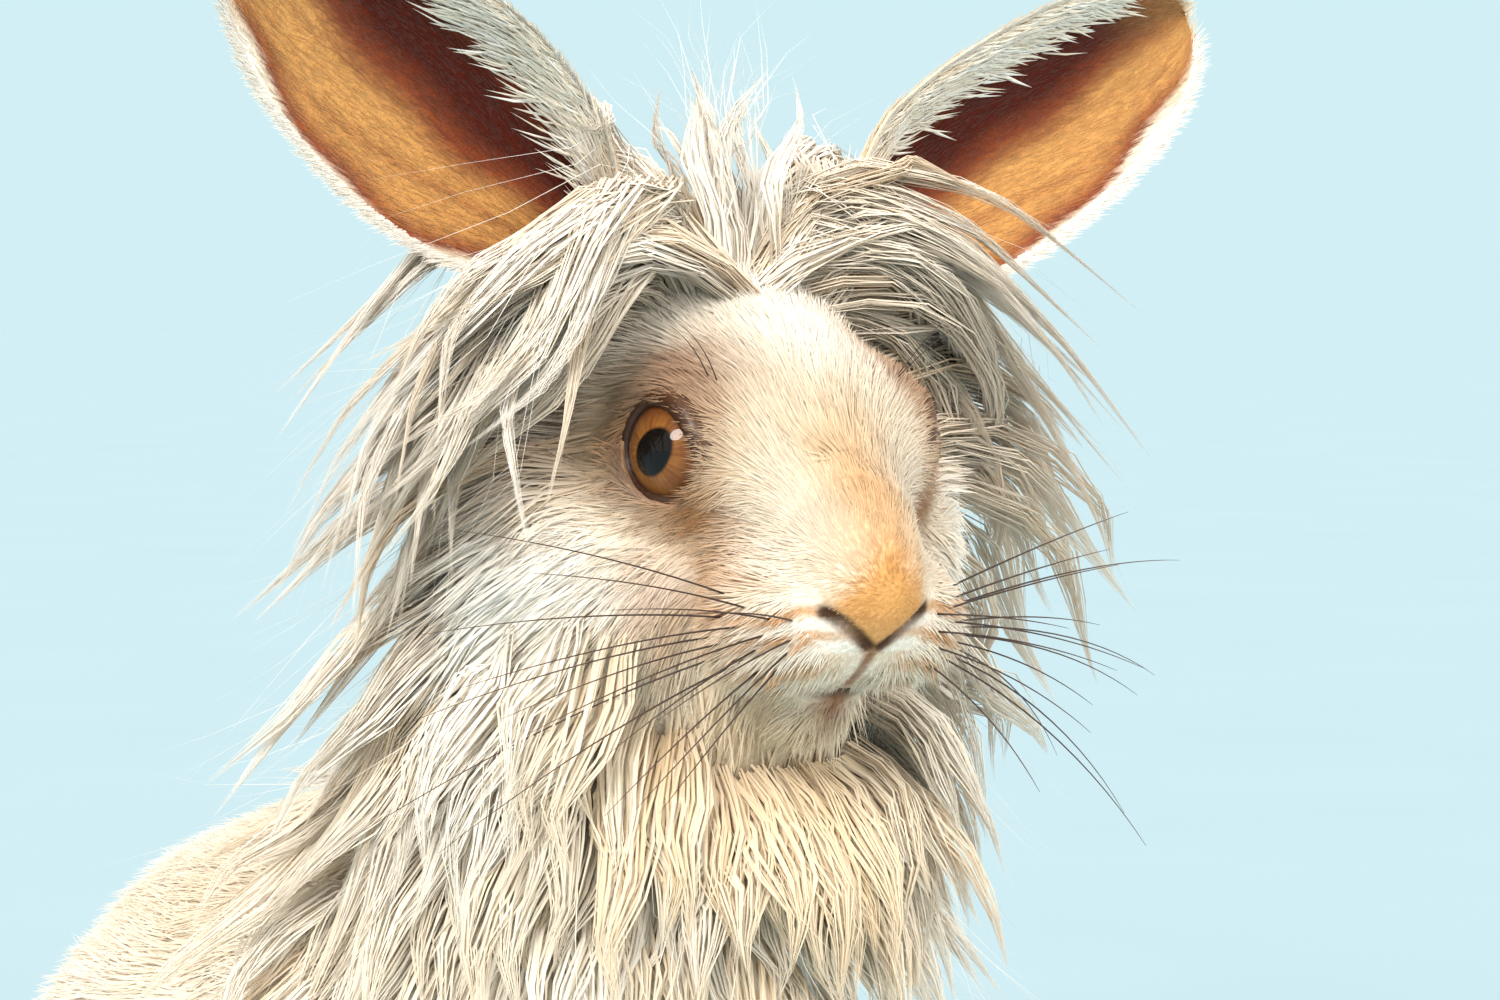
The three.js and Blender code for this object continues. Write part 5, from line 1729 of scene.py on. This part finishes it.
@dataclass
class Eye:
    """One eye: the ball with its cornea, iris and pupil, and the rim of both lids."""

    side: float
    head: Head
    palette: Palette
    radius: float = 9.2
    look: Triple = (0.9, -0.4, 0.12)
    opening: Pair = (7.8, 6.9)
    slope: float = math.radians(16.0)
    lid_radius: float = 1.35
    lid_drop: float = 1.1
    pupil: Pair = (2.9, 3.9)
    iris: float = 7.3
    bulge: float = 0.55

    @staticmethod
    def directions(side: float) -> tuple[Array, Array, Array]:
        """Out of the ball, along the slit towards the nose, and up across it."""
        out = unit(flipped(Eye.look, side))
        forward = np.array([0.0, -1.0, -math.tan(Eye.slope)])
        along = unit(forward - out * (forward @ out))
        up = np.cross(out, along)
        return out, along, up if up[2] > 0 else -up

    @staticmethod
    def opening_distance(away: Array, side: float) -> Array:
        """Above zero where the skin is cut away: in the ball's room, and in the slit in front of it."""
        out, along, up = Eye.directions(side)
        ball = Eye.radius + 0.15 - np.linalg.norm(away, axis=-1)
        a, b, depth = away @ along, away @ up, away @ out
        slit = np.sqrt((a / (Eye.opening[0] + 0.5)) ** 2 + (b / (Eye.opening[1] + 0.5)) ** 2)
        cut = (1.0 - slit) * Eye.opening[1]
        return np.maximum(ball, np.minimum(cut, depth - 2.0))

    def ball(self) -> Surface:
        """The ball as rings round the way it looks: radius grows over the cornea by a bell curve."""
        out, along, up = Eye.directions(self.side)
        polar = np.concatenate([np.linspace(0.004, 0.75, 60), np.linspace(0.78, math.pi - 0.01, 24)])
        polar_grid, turn_grid = np.meshgrid(polar, turns(80) * self.side, indexing="ij")
        size = self.radius + self.bulge * bell(polar_grid, 0.55)
        across, tall = np.sin(polar_grid) * np.cos(turn_grid), np.sin(polar_grid) * np.sin(turn_grid)
        ways = across[..., None] * along + tall[..., None] * up + np.cos(polar_grid)[..., None] * out
        local = flipped(self.head.eye, self.side) + ways * size[..., None]
        tints = self.iris_tint(across * self.radius, tall * self.radius, polar_grid, turn_grid)
        return tube(self.head.outwards(local)[::-1], tints[::-1])

    def iris_tint(self, a: Array, b: Array, polar: Array, turn: Array) -> Array:
        """Black pupil, amber iris with fine rays and a dark rim, painted light on its lower part, and brown
        beyond.
        """
        colours = self.palette
        rho = np.sqrt(a * a + b * b)
        hole = np.sqrt((a / self.pupil[0]) ** 2 + (b / self.pupil[1]) ** 2)
        rays = 0.5 + 0.22 * np.sin(turn * 41.0 + 3.0 * np.sin(turn * 5.0)) + 0.16 * np.sin(turn * 87.0)
        glow = mix(colours.iris, colours.amber, np.clip(rays * smooth(6.8, 3.4, rho), 0, 1)[..., None])
        # Painted light: the lower iris lighter amber, as lit through the cornea from above.
        low = smooth(-2.0, -5.5, b)[..., None]
        glow = mix(glow, colours.amber, 0.45 * low)
        tint = mix(glow, colours.umber, smooth(self.iris - 1.4, self.iris, rho)[..., None])
        tint = mix(colours.black, tint, smooth(0.9, 1.08, hole)[..., None])
        return np.where(polar[..., None] > 1.2, colours.umber, tint)

    def lid_place(self, angle: Array, spare: float) -> Array:
        """The edge of the opening on a shell just over the ball, in the head's frame."""
        out, along, up = Eye.directions(self.side)
        shell = self.radius + 0.3
        a = (self.opening[0] + spare) * np.cos(angle)
        b = (self.opening[1] + spare) * np.sin(angle) * (1.0 - 0.16 * np.cos(angle))
        b = b - self.lid_drop * smooth(0.0, 0.9, np.sin(angle))
        depth = np.sqrt(np.maximum(shell * shell - a * a - b * b, 0.5))
        centre = flipped(self.head.eye, self.side)
        return centre + a[..., None] * along + b[..., None] * up + depth[..., None] * out

    def lids(self) -> Surface:
        """Both lids' rims: an oval section, thicker above, swept round the opening."""
        colours = self.palette
        angle, section = turns(128) * self.side, turns(16)
        edge = self.lid_place(angle, 0.0)
        away = unit(self.lid_place(angle, 1.0) - edge)
        out = unit(edge - flipped(self.head.eye, self.side))
        upper = smooth(-0.2, 0.8, np.sin(angle))
        size = self.lid_radius * mix(0.95, 1.45, upper)
        wobble = 1.0 + 0.05 * np.sin(angle * 9.0)
        a = (np.cos(section)[None] + 0.75) * (size * wobble)[:, None]
        b = np.sin(section)[None] * size[:, None] * 0.85
        local = edge[:, None] + away[:, None] * a[..., None] + out[:, None] * b[..., None]
        points = self.head.outwards(local)
        faces = closed_grid(points, wrap_rows=True)[:, ::-1]
        inner = smooth(0.35, -0.75, np.cos(section))[None, :, None] * np.ones((len(angle), 1, 1))
        # The upper rim darker in umber: a dark lid line and painted shade under the brow.
        outer = mix(mix(colours.brown, colours.tan, 0.2), colours.umber, (0.85 * upper)[:, None, None])
        tints = mix(np.broadcast_to(outer, (*inner.shape[:2], 3)), colours.umber, inner)
        return Surface(points.reshape(-1, 3), faces, tints.reshape(-1, 3))

    def lashes(self) -> Tufts:
        """Short dark lashes on the upper lid, leaning out and back."""
        rng = np.random.default_rng(SEED + (3 if self.side > 0 else 4))
        count = 24
        angle = np.linspace(1.35, math.pi - 0.3, count) + rng.normal(0, 0.03, count)
        edge = self.lid_place(angle, 0.6)
        away = unit(self.lid_place(angle, 1.6) - edge)
        out = unit(edge - flipped(self.head.eye, self.side))
        t = np.linspace(0, 1, 4)[None, :, None]
        length = rng.uniform(1.8, 3.2, (count, 1, 1))
        bend = away[:, None] * 0.35 + rng.normal(0, 0.06, (count, 1, 3))
        local = edge[:, None] + length * (t * unit(out * 0.9 + away * 0.55)[:, None] + t * t * bend)
        paths = self.head.outwards(local)
        widths = taper(4, 1.0, 0.1)[None] * 0.1 * np.ones((count, 1))
        tints = np.broadcast_to(self.palette.umber, (count, 4, 3)).copy()
        bake = np.stack([mix(0.1, 0.9, np.linspace(0, 1, count)), np.full(count, 0.5)], axis=1)
        return Tufts(paths, widths, self.head.turned(out), tints, bake)


# Claws and whiskers


@dataclass
class Claws:
    """The claws of all four feet, curving down out of their toes."""

    body: Body
    palette: Palette
    length: float = 8.0
    radius: float = 1.25
    droop: float = 0.35
    sunk: float = 2.5
    flatness: float = 0.8
    sides: int = 14
    steps: int = 10

    def one(self, toe: Rod, side: float) -> Surface:
        """One claw: rings round an arc, with the radius falling as sqrt(1 - t^2)."""
        start, end = np.array(toe.start), np.array(toe.end)
        ahead = unit(end - start)
        root = end + ahead * (toe.end_radius - self.sunk)
        t = np.linspace(0.0, 0.985, self.steps)
        fall = -self.droop * self.length * t * t
        path = root + ahead * (self.length * t)[:, None] + UP * fall[:, None]
        path[:, 0] *= side
        tone = mix(0.55, 1.6, t)[:, None, None] * np.ones((1, self.sides, 1)) * self.palette.horn
        return tube(swept(path, self.radius * np.sqrt(1.0 - t * t), self.sides, self.flatness), tone)

    def surface(self, foot: Foot, side: float) -> Surface:
        """The four claws of one foot."""
        return joined_surfaces([self.one(toe, side) for toe in self.body.toes(foot)])


@dataclass
class Whiskers:
    """Long dark whiskers in rows on both pads, a few over the eyes."""

    head: Head
    palette: Palette
    rows: int = 4
    columns: int = 4
    length: Pair = (28.0, 62.0)
    radius: float = 0.14
    pad_from: Triple = (6.0, -30.0, -9.0)
    brow_from: Triple = (10.0, -8.0, 12.0)
    sides: int = 6
    steps: int = 14

    def one(self, root: Array, way: Array, length: float, droop: float, scale: float = 1.0) -> Surface:
        """A thin tube along root + L (t way + t^2 droop down and back), tapering to its tip.

        Args:
            root, way: where it leaves the skin and which way, in the head's frame.
            length: L, in millimetres.
            droop: how far it sinks over its length, as a share of L.
            scale: of its radius.

        Returns:
            The tube, in the animal's space.
        """
        t = np.linspace(0.0, 1.0, self.steps)
        along = t[:, None]
        ahead, bend = (self.head.turned(one) for one in (unit(way), np.array([0.0, 0.16, -droop])))
        path = self.head.outwards(root) + length * (along * ahead + along * along * bend)
        radii = scale * (self.radius * (1.0 - t) ** 0.7 + 0.03)
        tone = mix(self.palette.umber * 0.5, self.palette.umber * 1.6, along)
        return tube(swept(path, radii, self.sides), np.repeat(tone[:, None], self.sides, axis=1))

    def surface(self) -> Surface:
        """All whiskers, rooted where rays from inside the pads leave the skin."""
        rng = np.random.default_rng(SEED + 5)
        made = []
        for side in SIDES.values():
            for row, column in product(range(self.rows), range(self.columns)):
                turn = side * (math.radians(34.0 + 17.0 * column) + rng.normal(0, 0.05))
                drop = -0.25 + 0.24 * row + rng.normal(0, 0.03)
                root = self.root(self.pad_from, side, turn, drop)
                fan = math.radians(58.0 + 15.0 * column) + rng.normal(0, 0.07)
                rise = 0.32 - 0.24 * row + rng.normal(0, 0.06)
                way = np.array([side * math.sin(fan), -math.cos(fan), rise])
                length = mix(*self.length, rng.uniform(0.2, 1.0)) * (0.62 + 0.13 * column)
                made.append(self.one(root, way, length, 0.16 + 0.05 * row))
            for brow in range(2):
                root = self.root(self.brow_from, side, side * (0.9 + 0.2 * brow), -1.3)
                way = np.array([side * 0.55, -0.25 + 0.2 * brow, 0.9])
                made.append(self.one(root, way, rng.uniform(15, 23), 0.3, 0.6))
        return joined_surfaces(made)

    def root(self, start: Triple, side: float, turn: float, drop: float) -> Array:
        """Where one ray from a place inside the head leaves the skin on one side."""
        return self.head.ray(flipped(start, side), np.array([turn]), np.array([drop]))[0]


# Finishes


PLAIN = (1.0, 1.0, 1.0)


class Socket:
    """One value of a shader that takes part in Python expressions; each operator adds a Math node."""

    def __init__(self, shader: "Shader", output: bpy.types.NodeSocket) -> None:
        """Wraps one output."""
        self.shader, self.output = shader, output

    def math(self, operation: str, *values: "Socket | float") -> "Socket":
        """A Math node over this value and others."""
        settings = {"operation": operation}
        node = self.shader.node("ShaderNodeMath", settings, dict(enumerate(values)))
        return Socket(self.shader, node.outputs[0])

    def __add__(self, other: "Socket | float") -> "Socket":
        """The sum."""
        return self.math("ADD", self, other)

    __radd__ = __add__

    def __mul__(self, other: "Socket | float") -> "Socket":
        """The product."""
        return self.math("MULTIPLY", self, other)

    __rmul__ = __mul__


class Shader:
    """Builds one material round a Principled shader."""

    def __init__(self, name: str, constants: dict[str, object]) -> None:
        """Starts a material with numbers and colours set directly on the shader's sockets."""
        self.material = bpy.data.materials.new(name)
        self.material.use_nodes = True
        self.tree = self.material.node_tree
        self.tree.nodes.clear()
        self.principled = self.node("ShaderNodeBsdfPrincipled", {}, constants)
        self.node("ShaderNodeOutputMaterial", {}, {"Surface": self.principled.outputs[0]})

    def node(self, kind: str, settings: dict[str, object], values: dict) -> bpy.types.Node:
        """Adds a node.

        Args:
            kind: the node's type.
            settings: its own properties; "stops" are a ramp's places and colours.
            values: the sockets' numbers, colours, or links from other nodes.

        Returns:
            The node.
        """
        made = self.tree.nodes.new(kind)
        for name, value in settings.items():
            if name == "stops":
                ramp = made.color_ramp
                while len(ramp.elements) < len(value):
                    ramp.elements.new(1.0)
                for element, (place, colour) in zip(ramp.elements, value):
                    element.position, element.color = place, (*colour, 1.0)
            else:
                setattr(made, name, value)
        for name, value in values.items():
            socket = made.inputs[name]
            if isinstance(value, Socket):
                self.tree.links.new(value.output, socket)
            elif isinstance(value, bpy.types.NodeSocket):
                self.tree.links.new(value, socket)
            else:
                socket.default_value = value
        return made

    def value(self, kind: str, settings: dict[str, object], values: dict, output: int | str = 0) -> Socket:
        """Adds a node and gives one of its outputs."""
        return Socket(self, self.node(kind, settings, values).outputs[output])

    def noise(self, scale: float, detail: float, stretch: Triple = PLAIN) -> Socket:
        """Noise on Object coordinates, drawn out along an axis by the stretch."""
        place = self.node("ShaderNodeTexCoord", {}, {}).outputs["Object"]
        mapped = self.node("ShaderNodeMapping", {}, {"Vector": place, "Scale": stretch}).outputs[0]
        return self.value("ShaderNodeTexNoise", {}, {"Vector": mapped, "Scale": scale, "Detail": detail})

    def streaks(self) -> Socket:
        """Noise across and along each tuft, from its hair map, like single hairs."""
        place = self.node("ShaderNodeUVMap", {"uv_map": "hair"}, {}).outputs[0]
        return self.value("ShaderNodeTexNoise", {}, {"Vector": place, "Scale": 1.0, "Detail": 1.0})

    def tint(self) -> Socket:
        """The piece's own colours."""
        return self.value("ShaderNodeAttribute", {"attribute_name": "tint"}, {}, "Color")

    def shaded(self, colour: Socket, shade: Socket, factor: "Socket | float") -> Socket:
        """A colour multiplied by a shade."""
        settings = {"data_type": "RGBA", "blend_type": "MULTIPLY"}
        mixed = self.node("ShaderNodeMix", settings, {0: factor, 6: colour, 7: shade})
        return Socket(self, mixed.outputs[2])

    def ramp(self, value: Socket, *stops: tuple[float, Triple]) -> Socket:
        """Colours along a value."""
        return self.value("ShaderNodeValToRGB", {"stops": stops}, {"Fac": value})

    def feed(self, name: str, value: Socket) -> None:
        """Links a value to a socket of the shader."""
        self.tree.links.new(value.output, self.principled.inputs[name])

    def grained(self, grain: Socket, dark: Triple, share: float, roughness: float, spread: float) -> None:
        """Feeds the tints, darker by a share where the grain is low, and a roughness that follows it."""
        tone = self.ramp(grain, (0.3, dark), (0.7, PLAIN))
        self.feed("Base Color", self.shaded(self.tint(), tone, share))
        self.feed("Roughness", grain * spread + (roughness - spread / 2.0))

    def bump(self, height: Socket, strength: float, distance: float) -> None:
        """Relief from a height."""
        values = {"Height": height, "Strength": strength, "Distance": distance}
        self.feed("Normal", self.value("ShaderNodeBump", {}, values))


@dataclass(frozen=True)
class FurFinish:
    """Soft hair: the tufts' tints, mottled, with a fine streaked relief and a pale sheen."""

    name: str
    roughness: float = 0.72
    sheen: float = 0.25
    mottle: float = 0.3
    streak: float = 0.6

    def material(self) -> bpy.types.Material:
        """The finish as a material."""
        shader = Shader(
            self.name,
            {
                "Sheen Weight": self.sheen,
                "Sheen Roughness": 0.5,
                "Sheen Tint": (1.0, 0.95, 0.88, 1.0),
                "Specular IOR Level": 0.25,
            },
        )
        mottle = shader.ramp(shader.noise(90.0, 2.0), (0.3, (0.93, 0.89, 0.82)), (0.6, PLAIN))
        mottled = shader.shaded(shader.tint(), mottle, self.mottle)
        hairs = shader.streaks()
        tone = shader.ramp(hairs, (0.38, (0.8, 0.74, 0.66)), (0.56, PLAIN))
        shader.feed("Base Color", shader.shaded(mottled, tone, self.streak))
        shader.feed("Roughness", hairs * 0.2 + (self.roughness - 0.1))
        shader.bump(hairs, 0.5, 0.0003)
        return shader.material


@dataclass(frozen=True)
class SkinFinish:
    """The skin under the coat: its tints, with painted shade deeper between the hairs, and the relief of flat
    short fur.
    """

    name: str = "skin"
    roughness: float = 0.8
    relief: float = 0.5
    fine: float = 1500.0

    def material(self) -> bpy.types.Material:
        """The finish as a material."""
        shader = Shader(self.name, {"Specular IOR Level": 0.2})
        hairs = shader.noise(self.fine, 3.0, (1.0, 0.4, 1.0))
        # Painted shade: darker where the grain is low, between the hairs.
        shader.grained(hairs, (0.72, 0.62, 0.52), 0.75, self.roughness, 0.2)
        shader.bump(hairs + shader.noise(240.0, 2.0) * 0.6, self.relief, 0.0006)
        return shader.material


@dataclass(frozen=True)
class EyeFinish:
    """The wet ball: its tints with fine fibres, under a clear gloss."""

    name: str = "wet_eye"

    def material(self) -> bpy.types.Material:
        """The finish as a material."""
        gloss = {"Coat Weight": 1.0, "Coat Roughness": 0.01, "Coat IOR": 1.36, "Specular IOR Level": 0.0}
        shader = Shader(self.name, gloss)
        fibres = shader.ramp(shader.noise(900.0, 3.0), (0.3, (0.6, 0.5, 0.42)), (0.7, PLAIN))
        shader.feed("Base Color", shader.shaded(shader.tint(), fibres, 0.5))
        shader.feed("Roughness", shader.noise(300.0, 1.0) * 0.08 + 0.08)
        return shader.material


@dataclass(frozen=True)
class LidFinish:
    """Lids: dark moist rims."""

    name: str = "lid"
    roughness: float = 0.38

    def material(self) -> bpy.types.Material:
        """The finish as a material."""
        shader = Shader(self.name, {"Specular IOR Level": 0.45})
        grain = shader.noise(1400.0, 3.0)
        shader.grained(grain, (0.75, 0.7, 0.66), 0.6, self.roughness, 0.3)
        shader.bump(grain, 0.3, 0.0002)
        return shader.material


@dataclass(frozen=True)
class HornFinish:
    """Claws, whiskers and lashes: satin horn with faint lengthwise grain."""

    name: str = "horn"
    roughness: float = 0.4

    def material(self) -> bpy.types.Material:
        """The finish as a material."""
        shader = Shader(self.name, {"Specular IOR Level": 0.5})
        grain = shader.noise(700.0, 3.0, (3.0, 0.4, 3.0))
        shader.grained(grain, (0.7, 0.66, 0.6), 0.7, self.roughness, 0.2)
        shader.bump(grain, 0.2, 0.0001)
        return shader.material


# Studio


@dataclass(frozen=True)
class Lamp:
    """One soft light from far away: where it stands and how wide it spreads, in degrees, and its colour."""

    name: str
    azimuth: float
    elevation: float
    strength: float
    spread: float
    tone: Triple


@dataclass
class Studio:
    """A pale floor, soft lights and the camera."""

    azimuth: float = -42.0
    elevation: float = 3.0
    distance: float = 0.51
    lens: float = 85.0
    target: Triple = (-20.3, -93.8, 167.0)
    backdrop: Triple = (0.644, 0.863, 0.914)
    floor_tone: Triple = (0.3593, 0.4921, 0.5476)
    ambient: Triple = (1.0, 0.965, 0.91)
    ambient_strength: float = 1.1
    lamps: tuple = (
        Lamp("key", -62.0, 33.0, 2.45, 22.0, (1.0, 0.98, 0.95)),
        Lamp("fill", 5.0, 20.0, 1.5, 60.0, (1.0, 0.98, 0.96)),
        Lamp("rim", 130.0, 45.0, 0.6, 40.0, (1.0, 0.98, 0.95)),
    )
    half_floor: float = 40.0
    clip: Pair = (0.01, 50.0)

    def around(self, azimuth: float, elevation: float) -> Array:
        """The unit direction from the animal to a place at an azimuth and elevation in degrees."""
        a, e = math.radians(azimuth), math.radians(elevation)
        return np.array([math.sin(a) * math.cos(e), -math.cos(a) * math.cos(e), math.sin(e)])

    def camera(self, place: Place) -> None:
        """The camera at the picture's viewing angle."""
        data = bpy.data.cameras.new("camera")
        data.lens = self.lens
        made = stand("camera", data)
        target = Vector(place.metres(np.array(self.target)))
        way = Vector(self.around(self.azimuth, self.elevation))
        made.location = target + way * self.distance
        made.rotation_euler = (-way).to_track_quat("-Z", "Y").to_euler()
        data.clip_start, data.clip_end = self.clip
        bpy.context.scene.camera = made

    def light(self, lamp: Lamp) -> None:
        """One lamp, whose spread sets how soft its shadows are."""
        data = bpy.data.lights.new(lamp.name, "SUN")
        data.angle, data.energy, data.color = math.radians(lamp.spread), lamp.strength, lamp.tone
        way = Vector(self.around(lamp.azimuth, lamp.elevation))
        stand(lamp.name, data).rotation_euler = way.to_track_quat("Z", "Y").to_euler()

    def floor(self) -> None:
        """A wide floor under the feet, in faintly mottled pale board."""
        mesh = bpy.data.meshes.new("floor")
        half = self.half_floor
        corners = [(-half, -half, 0), (half, -half, 0), (half, half, 0), (-half, half, 0)]
        mesh.from_pydata(corners, [], [(0, 1, 2, 3)])
        shader = Shader("floor", {"Roughness": 0.9, "Specular IOR Level": 0.0})
        tone = np.array(self.floor_tone)
        mottle = shader.ramp(shader.noise(6.0, 3.0), (0.3, tuple(tone * 0.98)), (0.7, tuple(tone)))
        shader.feed("Base Color", mottle)
        mesh.materials.append(shader.material)
        stand("floor", mesh)

    def world(self) -> None:
        """Even warm light all round, in front of a plain pale backdrop."""
        world = bpy.data.worlds.new("studio")
        world.use_nodes = True
        tree = world.node_tree
        light = tree.nodes["Background"]
        light.inputs["Color"].default_value = (*self.ambient, 1.0)
        light.inputs["Strength"].default_value = self.ambient_strength
        seen = tree.nodes.new("ShaderNodeBackground")
        seen.inputs["Color"].default_value = (*self.backdrop, 1.0)
        path, choice = tree.nodes.new("ShaderNodeLightPath"), tree.nodes.new("ShaderNodeMixShader")
        tree.links.new(path.outputs["Is Camera Ray"], choice.inputs[0])
        tree.links.new(light.outputs[0], choice.inputs[1])
        tree.links.new(seen.outputs[0], choice.inputs[2])
        tree.links.new(choice.outputs[0], tree.nodes["World Output"].inputs["Surface"])
        bpy.context.scene.world = world

    def build(self, place: Place) -> None:
        """The whole studio."""
        self.world()
        self.floor()
        for lamp in self.lamps:
            self.light(lamp)
        self.camera(place)
        bpy.context.scene.view_settings.view_transform = "Standard"


FLESH = (
    "torso", "head", "neck", "tail", "hindleg_left", "hindleg_right", "foreleg_left", "foreleg_right",
    "hindfoot_left", "hindfoot_right", "forepaw_left", "forepaw_right",
)


def main() -> None:
    """Builds the rabbit piece by piece."""
    rabbit = Rabbit()
    palette = Palette()
    place = Place.from_frame(rabbit.head)
    workshop = Workshop(place)
    markings = Markings(rabbit, palette)
    log.info("shift %s", np.round(place.shift, 3))

    rulers = (
        Ruler(-66.0, 66.0, 1.3, -26.0, 8.0, 0.65),
        Ruler(-122.0, 118.0, 1.3, -118.0, -98.0, 0.6),
        Ruler(-2.0, 200.0, 1.3, 140.0, 172.0, 0.65),
    )
    skin = surface_net(rabbit.skin, rulers)
    normals = outward(rabbit.skin, skin.points)
    skin.tints = markings.at(skin.points)
    workshop.piece("skin", skin, SkinFinish().material(), FLESH)

    ears = [Ear(name, rabbit.head, palette, *plan) for name, plan in EAR_PLANS.items()]
    ear_skin = SkinFinish("ear_skin", relief=0.35, fine=2200.0).material()
    ear_fur = FurFinish("ear_fur").material()
    for ear in ears:
        workshop.piece(f"ear_sheet_{ear.name}", ear.skin(), ear_skin, [f"ear_{ear.name}"])
        for name, lot in zip(("fur", "band"), ear.fur()):
            workshop.piece(f"ear_{name}_{ear.name}", lot.surface(), ear_fur)

    wet, moist, horn = (finish().material() for finish in (EyeFinish, LidFinish, HornFinish))
    for name, side in SIDES.items():
        eye = Eye(side, rabbit.head, palette)
        workshop.piece(f"eyeball_{name}", eye.ball(), wet, [f"eye_{name}"])
        workshop.piece(f"eyelids_{name}", eye.lids(), moist)
        workshop.piece(f"lashes_{name}", eye.lashes().surface(), horn)
        for foot in Foot:
            nails = [f"claw_{foot.value}_{name}_{i}" for i in range(1, 5)]
            claws = Claws(rabbit.body, palette).surface(foot, side)
            workshop.piece(f"claws_{foot.value}_{name}", claws, horn, nails)
    workshop.piece("whiskers", Whiskers(rabbit.head, palette).surface(), horn)

    coat = ShortCoat(rabbit, markings)
    fur = FurFinish("fur").material()
    for seed, group in enumerate((Group.FACE, Group.TRUNK, Group.LIMBS)):
        scatter = Scatter.over(skin, normals, partial(coat.density, group), SEED + seed)
        for i, lot in enumerate(coat.grow(scatter, SEED + 10 + seed).split(), start=1):
            workshop.piece(f"coat_{group.value}_{i}", lot.surface(), fur)
    scatter = Scatter.over(skin, normals, partial(coat.density, Group.CHEEKS), SEED + 30)
    workshop.piece("coat_cheeks", coat.fluff(scatter, SEED + 31).surface(), fur)

    mane = Mane(rabbit, markings, ears)
    wool = FurFinish("mane_wool", roughness=0.62, sheen=0.3).material()
    for i, lot in enumerate((part for lot in mane.grow() for part in lot.split()), start=1):
        workshop.piece(f"mane_{i}", lot.surface(), wool)
    workshop.piece("mane_strays", mane.strays().surface(), wool)

    Studio().build(place)


if __name__ == "__main__":
    main()
